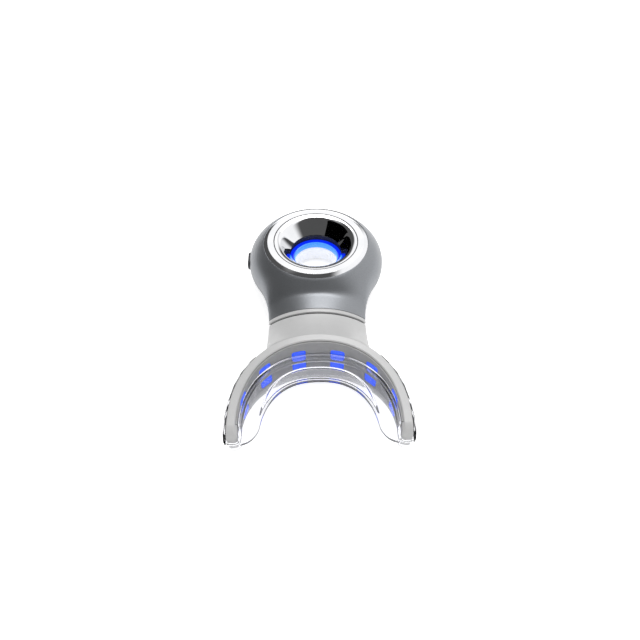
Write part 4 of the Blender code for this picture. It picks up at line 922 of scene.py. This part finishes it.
def arch_table():
    """Half of the U as a list of arc, sideways place and depth."""
    rows = [(0.0, 0.0, 0.0)]
    for step in range(1, ARCH_SAMPLES + 1):
        turn = math.pi / 2 * step / ARCH_SAMPLES
        across = ARCH_HALF_WIDTH * math.sin(turn) ** (2 / ARCH_POWER)
        back = ARCH_DEPTH * (1 - max(math.cos(turn), 0) ** (2 / ARCH_POWER))
        rows.append((rows[-1][0] + math.hypot(across - rows[-1][1], back - rows[-1][2]), across, back))
    return rows


ARCH_ROWS = arch_table()
ARCH_CURVE_END = ARCH_ROWS[-1][0]
ARC_END = ARCH_CURVE_END + ARM_LENGTH


def curve_place(run):
    """Sideways place and depth at a distance along half of the U."""
    if run >= ARCH_CURVE_END:
        return ARCH_HALF_WIDTH, ARCH_DEPTH + run - ARCH_CURVE_END
    low, high = 0, len(ARCH_ROWS) - 1
    while high - low > 1:
        middle = (low + high) // 2
        low, high = (middle, high) if ARCH_ROWS[middle][0] <= run else (low, middle)
    share = (run - ARCH_ROWS[low][0]) / (ARCH_ROWS[high][0] - ARCH_ROWS[low][0])
    return tuple(ARCH_ROWS[low][at] + share * (ARCH_ROWS[high][at] - ARCH_ROWS[low][at]) for at in (1, 2))


def arch_frame(arc):
    """Point on the panel face and the outward direction there, in plan."""
    side = -1 if arc < 0 else 1
    run = abs(arc)
    x, back = curve_place(run)
    before = curve_place(max(run - DIRECTION_RUN, 0))
    after = curve_place(run + DIRECTION_RUN)
    along = Vector((after[0] - before[0], before[1] - after[1])).normalized()
    return Vector((side * x, y_at(ARCH_REACH + back))), Vector((-side * along.y, along.x))


def arch_point(arc, offset, rise):
    """A point by its distance along the U, outward from the light panel and up."""
    point, outward = arch_frame(arc)
    place = point + offset * outward
    return Vector((place.x, place.y, z_at(rise)))


def spread(end, steps):
    """Even places from one end of the U to the other."""
    return [-end + 2 * end * step / steps for step in range(steps + 1)]


def rim_top(arc):
    """Rise of the wall's upper edge, highest at the front."""
    share = (1 + math.cos(math.pi * min(abs(arc) / ARC_END, 1))) / 2
    return RIM_TOP_ARM + (RIM_TOP_FRONT - RIM_TOP_ARM) * share ** RIM_TOP_POWER


def rim_bottom(arc):
    """Drop of the wall's lower edge, which rests on the ground at the front."""
    share = min(max(abs(arc) - RIM_FLAT_ARC, 0) / (ARC_END - RIM_FLAT_ARC), 1)
    return MID_HEIGHT - (MID_HEIGHT - RIM_BOTTOM_ARM) * share ** RIM_BOTTOM_POWER


def tip_share(arc):
    """Share of its height that the wall keeps toward its rounded tips."""
    run = max(abs(arc) - (ARC_END - TIP_ROUND), 0) / TIP_ROUND
    return max(math.sqrt(max(1 - run * run, 0)), TIP_HEIGHT_SHARE)


# Wall, collar and plug of the mouthpiece

def wall_outline(arc):
    """Section of the wall at an arc: flat rim, inner bevel and rounded outer edges."""
    share = tip_share(arc)
    top = rim_top(arc) * share
    bottom = -rim_bottom(arc) * share
    run = max(abs(arc) - (ARC_END - TIP_CORNER), 0) / TIP_CORNER
    draw_in = TIP_CORNER * (1 - math.sqrt(max(1 - run * run, 0)))
    low = draw_in
    high = ARCH_WALL - draw_in
    bevel = min(RIM_BEVEL, (high - low) / 3)
    drop = RIM_BEVEL_HEIGHT * share
    edge = min(RIM_EDGE, (high - low) / 3)
    points = [(low, top - drop), (low + bevel, top)]
    points += arc_points((high - edge, top - edge), edge, 90, 0, 4)
    points += arc_points((high - edge, bottom + edge), edge, 0, -90, 4)
    points += [(low + bevel, bottom), (low, bottom + drop)]
    return points


def wall_solid():
    inner = spread(ARC_END - TIP_ROUND, ARCH_STEPS)
    tips = [ARC_END - TIP_ROUND * math.cos(math.pi / 2 * step / TIP_STEPS)
            for step in range(1, TIP_STEPS + 1)]
    arcs = [-arc for arc in reversed(tips)] + inner + tips
    outlines = {arc: wall_outline(arc) for arc in arcs}
    return sweep(len(outlines[arcs[0]]), arcs, lambda arc, step: arch_point(arc, *outlines[arc][step]))


def collar_point(station, step):
    """The collar grows from the neck's lens at the seam to a tall, rounder section at the wall."""
    reach, inset = station
    end = ARCH_REACH - ARCH_WALL
    run = min(max((reach - COLLAR_REACH) / (end - COLLAR_REACH), 0), 1)
    width = NECK_HALF_WIDTH - COLLAR_EDGE_INSET
    half_width = width + (COLLAR_END_HALF_WIDTH - width) * run * run - inset
    height = NECK_HALF_HEIGHT - COLLAR_EDGE_INSET
    half_height = height + (COLLAR_END_RISE - height) * run ** COLLAR_FLARE_POWER - inset
    share = NECK_ROUND_SHARE + (COLLAR_ROUND_SHARE - NECK_ROUND_SHARE) * run
    turn = math.tau * step / RING_STEPS
    x = half_width * math.cos(turn)
    rise = share * half_height * abs(math.sin(turn))
    rise += (1 - share) * max(lens_rise(x, half_width, half_height), 0)
    return Vector((x, y_at(reach), z_at(math.copysign(rise, math.sin(turn)))))


def mouthpiece_body():
    """Collar, U-shaped wall and plug in one moulding, with a pocket behind the light panel."""
    wall_reach = ARCH_REACH - ARCH_WALL
    edge = [math.pi / 2 * step / 3 for step in range(4)]
    stations = [(COLLAR_REACH - SEAM_LAP + COLLAR_EDGE * (1 - math.cos(turn)),
                 COLLAR_EDGE * (1 - math.sin(turn))) for turn in edge]
    stations += [(COLLAR_REACH + (wall_reach - COLLAR_REACH) * step / COLLAR_STEPS, 0)
                 for step in range(1, COLLAR_STEPS + 1)]
    stations.append((ARCH_REACH + ARCH_DEPTH / 4, 0))
    body = make_object("mouth_frame", sweep(RING_STEPS, stations, collar_point), 40)
    core_line = spread(ARC_END, ARCH_STEPS)
    core = sweep(len(core_line), [-2 * MID_HEIGHT, 2 * MID_HEIGHT],
                 lambda rise, step: arch_point(core_line[step], ARCH_WALL - CORE_LAP, rise))
    carve(body, make_object("arch_core", core))
    carve(body, make_object("arch_wall", wall_solid()), "UNION")
    plug = sweep(RING_STEPS, [(PLUG_REACH, PLUG_INSET), (COLLAR_REACH + OVERSHOOT, PLUG_INSET)], seam_point)
    carve(body, make_object("plug", plug), "UNION")
    bore = sweep(RING_STEPS, [(PLUG_REACH - OVERSHOOT, PLUG_BORE_INSET),
                              (COLLAR_REACH + PLUG_BORE_DEPTH, PLUG_BORE_INSET)], seam_point)
    carve(body, make_object("plug_bore", bore))
    carve(body, make_object("light_pocket", arch_strip(
        -OVERSHOOT, POCKET_DEPTH, ARC_END - POCKET_END, POCKET_MARGIN)))
    shade(body, 28)
    even_normals(body)
    return dress(body, pale_abs, "mouthpiece", "pale_plastic", "arch_shell")


def arch_strip(low, high, end, margin):
    """A curved strip that follows the wall and stays a margin inside its edges."""
    def place(arc, step):
        offset = low if step in (0, 3) else high
        rise = rim_top(arc) - margin if step > 1 else margin - rim_bottom(arc)
        return arch_point(arc, offset, rise)
    return sweep(4, spread(end, ARCH_STEPS), place)


def window_places():
    """Name, arc and rise of each lit window: two rows of six."""
    arcs = [WINDOW_FIRST_ARC + step * WINDOW_PITCH for step in range(3)]
    columns = [-arc for arc in reversed(arcs)] + arcs
    rows = (("upper", WINDOW_ROW_RISE), ("lower", WINDOW_ROW_RISE - WINDOW_ROW_SPACING))
    return [(f"{row}_{index + 1}", arc, rise - (WINDOW_END_DROP if abs(arc) == arcs[-1] else 0))
            for row, rise in rows for index, arc in enumerate(columns)]


def window_block(arc, rise, grow, low, high):
    """A flat block of a window's outline, grown by a margin, from one offset to another."""
    point, outward = arch_frame(arc)
    along = Vector((-outward.y, outward.x))
    outline = rounded_outline(WINDOW_WIDTH + 2 * grow, WINDOW_HEIGHT + 2 * grow, WINDOW_CORNER + grow, 5)

    def place(offset, step):
        spot = point + offset * outward + outline[step][0] * along
        return Vector((spot.x, spot.y, z_at(rise + outline[step][1])))
    return sweep(len(outline), [low, high], place)


def light_panel():
    """Grey strip inside the U, with a hole for each window."""
    panel = make_object("light_strip", arch_strip(0, PANEL_THICKNESS, ARC_END - PANEL_END, PANEL_MARGIN))
    for _, arc, rise in window_places():
        carve(panel, make_object("window_hole", window_block(
            arc, rise, WINDOW_GAP, -OVERSHOOT, PANEL_THICKNESS + OVERSHOOT)))
    shade(panel, 30)
    return dress(panel, panel_abs, "mouthpiece", "grey_panel", "led_panel")


def light_windows():
    """Lenses that fill the panel's holes and stand just proud of it."""
    for name, arc, rise in window_places():
        lens = make_object(f"lens_{name}", window_block(arc, rise, 0, -WINDOW_PROUD, PANEL_THICKNESS))
        soften(lens, WINDOW_EDGE, 2, 50)
        dress(lens, lens_blue, "mouthpiece", "blue_light", f"led_window_{name}")


mouthpiece_body()
light_panel()
light_windows()


# Clear bite tray

def plate_width(arc):
    """Width of the bite plate, which narrows along the arms and rounds off at its ends."""
    share = min(abs(arc) / PLATE_WIDTH_ARC, 1) ** PLATE_WIDTH_POWER
    width = PLATE_FRONT_WIDTH - (PLATE_FRONT_WIDTH - PLATE_ARM_WIDTH) * share
    run = max(abs(arc) - (PLATE_END_ARC - PLATE_END_ROUND), 0) / PLATE_END_ROUND
    return width * math.sqrt(max(1 - (run * PLATE_END_SHARE) ** 2, 0))


def plate_outline(arc):
    """Section of the plate: flat, with its root in the skin and its inner edge rounded."""
    root = -(GAP + SKIN / 2)
    inner = -plate_width(arc)
    middle = (PLATE_TOP + PLATE_BOTTOM) / 2
    half = (PLATE_TOP - PLATE_BOTTOM) / 2
    points = [(root, PLATE_BOTTOM), (root, PLATE_TOP)]
    points += arc_points((inner + half, middle), half, 90, 270, 6)
    return points


def plate_solid():
    """The flat plate that the teeth close on."""
    flat = spread(PLATE_END_ARC - PLATE_END_ROUND, ARCH_STEPS)
    tips = [PLATE_END_ARC - PLATE_END_ROUND * math.cos(math.pi / 2 * step / PLATE_END_STEPS)
            for step in range(1, PLATE_END_STEPS + 1)]
    arcs = [-arc for arc in reversed(tips)] + flat + tips
    outlines = {arc: plate_outline(arc) for arc in arcs}
    return sweep(len(outlines[arcs[0]]), arcs, lambda arc, step: arch_point(arc, *outlines[arc][step]))


def tongue_wall_solid():
    """The short wall behind the front teeth, fading into the plate at both ends."""
    def place(arc, step):
        fade = 1 - (abs(arc) / TONGUE_WALL_ARC) ** TONGUE_WALL_POWER
        top = PLATE_TOP + GAP + (TONGUE_WALL_RISE - PLATE_TOP) * fade
        inner = TONGUE_WALL_SET_BACK - plate_width(arc)
        half = TONGUE_WALL_THICKNESS / 2
        points = [(inner, 0.0), (inner + 2 * half, 0.0)]
        points += arc_points((inner + half, top - half), half, 0, 180, 6)
        return arch_point(arc, *points[step])
    return sweep(9, spread(TONGUE_WALL_ARC, ARCH_STEPS), place)


def skin_stations():
    """Stations of the skin on the right half, from the outer skin's start round the tip to the middle.

    Each is an arc and an offset, the direction out of the skin there, its top, its bottom and its feathering.
    """
    stations = []
    outer = ARCH_WALL + GAP + SKIN / 2
    inner = -(GAP + SKIN / 2)
    radius = TIP_CORNER + GAP + SKIN / 2
    far = ARC_END + GAP + SKIN / 2
    turn_arc = far - radius
    for step in range(SKIN_ARM_STEPS):
        arc = SKIN_START_ARC + (turn_arc - SKIN_START_ARC) * step / SKIN_ARM_STEPS
        share = tip_share(arc)
        top = max((rim_top(arc) - SKIN_DROP) * share, TIP_SKIN_RISE)
        bottom = max((rim_bottom(arc) - SKIN_DROP) * share, TIP_SKIN_RISE)
        stations.append((arc, outer, 1, 0, top, -bottom, 0))
    turns = [math.pi / 2 * step / SKIN_TURN_STEPS for step in range(SKIN_TURN_STEPS + 1)]
    for turn in turns:
        stations.append((turn_arc + radius * math.sin(turn), outer - radius + radius * math.cos(turn),
                         math.cos(turn), math.sin(turn), TIP_SKIN_RISE, -TIP_SKIN_RISE, 0))
    for turn in turns:
        stations.append((turn_arc + radius * math.cos(turn), inner + radius - radius * math.sin(turn),
                         -math.sin(turn), math.cos(turn), TIP_SKIN_RISE, -TIP_SKIN_RISE, 0))
    for step in range(1, SKIN_FRONT_STEPS + 1):
        arc = turn_arc * (1 - step / SKIN_FRONT_STEPS)
        blend = min((turn_arc - arc) / TIP_ROUND, 1)
        blend = blend * blend * (3 - 2 * blend)
        top = TIP_SKIN_RISE + (FRONT_WALL_RISE - TIP_SKIN_RISE) * blend
        bottom = -TIP_SKIN_RISE + (TIP_SKIN_RISE + FRONT_WALL_START) * blend
        stations.append((arc, inner, -1, 0, top, bottom, blend))
    return stations


def skin_solid():
    """One ribbon: outer skin, round the tip, along the light panel and back round the other arm."""
    half = skin_stations()
    stations = [(-1, *station) for station in half] + [(1, *station) for station in reversed(half[:-1])]

    def place(station, step):
        side, arc, offset, out, forth, top, bottom, feather = station
        edge = SKIN / 2
        lip = arc_points((0, top - edge), edge, 0, 180, 4)
        lip = [(across + feather * (thin - across), up + feather * (top - fall - up))
               for (across, up), (thin, fall) in zip(lip, SKIN_FEATHER)]
        across, up = (lip + arc_points((0, bottom + edge), edge, 180, 360, 4))[step]
        return arch_point(side * (arc + across * forth), offset + across * out, up)
    return sweep(10, stations, place)


tray = make_object("clear_tray", skin_solid(), 40)
carve(tray, make_object("bite_plate", plate_solid(), 40), "UNION", True)
carve(tray, make_object("tongue_wall", tongue_wall_solid(), 40), "UNION", True)
shade(tray, 35)
even_normals(tray)
dress(tray, silicone, "mouthpiece", "clear_silicone", "bite_tray")


# Finishes of the carried-over nodes inside

for node, finish in (
        [("main_board", board_green), ("plug_contact_board", board_green), ("flex_board", film_amber),
         ("battery_cell", foil), ("contact_block", dark_abs), ("switch_body", dark_abs),
         ("switch_plunger", steel)]
        + [(f"housing_screw_{index}", steel) for index in range(1, 5)]
        + [(f"contact_pin_{index}", gold) for index in range(1, 5)]
        + [(f"ring_led_{index}", resin) for index in range(1, 7)]):
    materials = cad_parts[node].data.materials
    materials.clear()
    materials.append(finish)


# Floor, light and camera

def pale_floor():
    """Matt paper sweep under the object, which glows only for the rays that see the background."""
    shape = bmesh.new()
    bmesh.ops.create_grid(shape, x_segments=1, y_segments=1, size=FLOOR_SIZE)
    bmesh.ops.translate(shape, verts=shape.verts, vec=(0, 0, -FLOOR_DROP))
    floor = make_object("studio_floor", shape)
    made, tree, shader = start_finish(
        "studio_floor_paper", "f3f3f3", "f5f5f5", patch=200 * MM, rough=(0.88, 0.92), rough_patch=200 * MM,
        Specular_IOR_Level=0.0, Emission_Color=linear("ffffff"))[:3]
    seen = add_node(tree, "ShaderNodeMath", {"operation": "MULTIPLY"}, {
        0: background_rays(tree), 1: FLOOR_GLOW})
    tree.links.new(seen.outputs[0], shader.inputs["Emission Strength"])
    floor.data.materials.append(made)


def background_rays(tree):
    """One for rays that see the background straight, in a mirror or through clear plastic."""
    path = add_node(tree, "ShaderNodeLightPath")
    bent = add_node(tree, "ShaderNodeMath", {"operation": "MAXIMUM"}, {
        0: path.outputs["Is Glossy Ray"], 1: path.outputs["Is Transmission Ray"]})
    seen = add_node(tree, "ShaderNodeMath", {"operation": "MAXIMUM"}, {
        0: path.outputs["Is Camera Ray"], 1: bent.outputs[0]})
    direct = add_node(tree, "ShaderNodeMath", {"operation": "LESS_THAN"}, {
        0: path.outputs["Diffuse Depth"], 1: 0.5})
    both = add_node(tree, "ShaderNodeMath", {"operation": "MULTIPLY"}, {
        0: seen.outputs[0], 1: direct.outputs[0]})
    return both.outputs[0]


def studio_world():
    """Soft even light, and a plain studio of large cards that polished surfaces show.

    Directions are a turn from the back toward the right and a lift above the floor, in degrees.
    """
    world = bpy.data.worlds.new("studio")
    bpy.context.scene.world = world
    world.use_nodes = True
    tree = world.node_tree
    place = add_node(tree, "ShaderNodeTexCoord")
    axes = add_node(tree, "ShaderNodeSeparateXYZ", links={"Vector": place.outputs["Generated"]})
    turn = add_node(tree, "ShaderNodeMath", {"operation": "ARCTAN2"}, {
        0: axes.outputs["X"], 1: axes.outputs["Y"]})
    lift = add_node(tree, "ShaderNodeMath", {"operation": "ARCSINE"}, {0: axes.outputs["Z"]})
    angles = {"turn": turn.outputs[0], "lift": lift.outputs[0]}

    def card(level, brightness, *edges):
        """Lay one card over the level so far. Each edge fades in from one angle to the other."""
        cover = 1.0
        for way, start, end in edges:
            fade = add_node(tree, "ShaderNodeMapRange", {"interpolation_type": "SMOOTHSTEP"}, {
                "Value": angles[way], "From Min": math.radians(start), "From Max": math.radians(end)})
            cover = add_node(tree, "ShaderNodeMath", {"operation": "MULTIPLY"}, {
                0: fade.outputs["Result"], 1: cover}).outputs[0]
        laid = add_node(tree, "ShaderNodeMix", {"data_type": "FLOAT"}, {
            "Factor": cover, "A": level, "B": brightness})
        return laid.outputs["Result"]

    level = card(ROOM_LEVEL, CEILING_LEVEL, ("lift", 54, 66), ("turn", -100, -60), ("turn", 100, 60))
    level = card(level, RIGHT_LEVEL, ("turn", 18, 34), ("turn", 128, 100), ("lift", 76, 62))
    level = card(level, BACK_LEVEL, ("turn", -26, -14), ("turn", 29, 20), ("lift", 18, 31), ("lift", 57, 48))
    middle = Vector((0, 1, 0))
    middle.rotate(Euler((math.radians(DISC_LIFT), 0, math.radians(-DISC_TURN))))
    disc = add_node(tree, "ShaderNodeVectorMath", {"operation": "DOT_PRODUCT"}, {
        0: place.outputs["Generated"], 1: middle})
    spot = add_node(tree, "ShaderNodeMapRange", {"interpolation_type": "SMOOTHSTEP"}, {
        "Value": disc.outputs["Value"], "From Min": math.cos(math.radians(DISC_FADE[0])),
        "From Max": math.cos(math.radians(DISC_FADE[1]))})
    dark = add_node(tree, "ShaderNodeMix", {"data_type": "FLOAT"}, {
        "Factor": spot.outputs["Result"], "A": level, "B": 0.0})
    level = card(dark.outputs["Result"], HORIZON_LEVEL, ("lift", 5, -3))
    path = add_node(tree, "ShaderNodeLightPath")
    clear = card(CLEAR_LEVEL, 1.0, ("lift", 24, 4))
    bent = add_node(tree, "ShaderNodeMix", {"data_type": "FLOAT"}, {
        "Factor": path.outputs["Is Transmission Ray"], "A": level, "B": clear})
    polished = add_node(tree, "ShaderNodeMix", {"data_type": "FLOAT"}, {
        "Factor": background_rays(tree), "A": SOFT_LEVEL, "B": bent.outputs["Result"]})
    shown = add_node(tree, "ShaderNodeMix", {"data_type": "FLOAT"}, {
        "Factor": path.outputs["Is Camera Ray"], "A": polished.outputs["Result"], "B": 1.0})
    background = tree.nodes["Background"]
    background.inputs["Color"].default_value = (1, 1, 1, 1)
    tree.links.new(shown.outputs["Result"], background.inputs["Strength"])


def soft_lamp(name, place, size, power, glossy):
    """A square lamp aimed at the object. One that isn't glossy gives soft shading alone."""
    light = bpy.data.lights.new(name, "AREA")
    light.shape = "SQUARE"
    light.size = size
    light.energy = power
    lamp = bpy.data.objects.new(name, light)
    bpy.context.scene.collection.objects.link(lamp)
    lamp.location = place
    lamp.rotation_euler = (-Vector(place)).to_track_quat("-Z", "Y").to_euler()
    lamp.visible_glossy = glossy


def camera():
    """The photograph's view."""
    lens = bpy.data.cameras.new("camera")
    lens.lens = CAMERA_LENS
    lens.sensor_width = CAMERA_SENSOR
    lens.clip_start = 1 * MM
    made = bpy.data.objects.new("camera", lens)
    bpy.context.scene.collection.objects.link(made)
    made.location = (CAMERA_SIDE, HEAD_Y - CAMERA_BACK, MID_HEIGHT + CAMERA_UP)
    made.rotation_euler = Euler((CAMERA_PITCH, 0, CAMERA_TURN))
    bpy.context.scene.camera = made


pale_floor()
studio_world()
soft_lamp("key", (0.05, 0.21, 0.44), size=0.30, power=1.1, glossy=True)
soft_lamp("front", (0.05, -0.45, 0.25), size=0.40, power=0.5, glossy=False)
camera()
bpy.context.scene.view_settings.view_transform = "Standard"
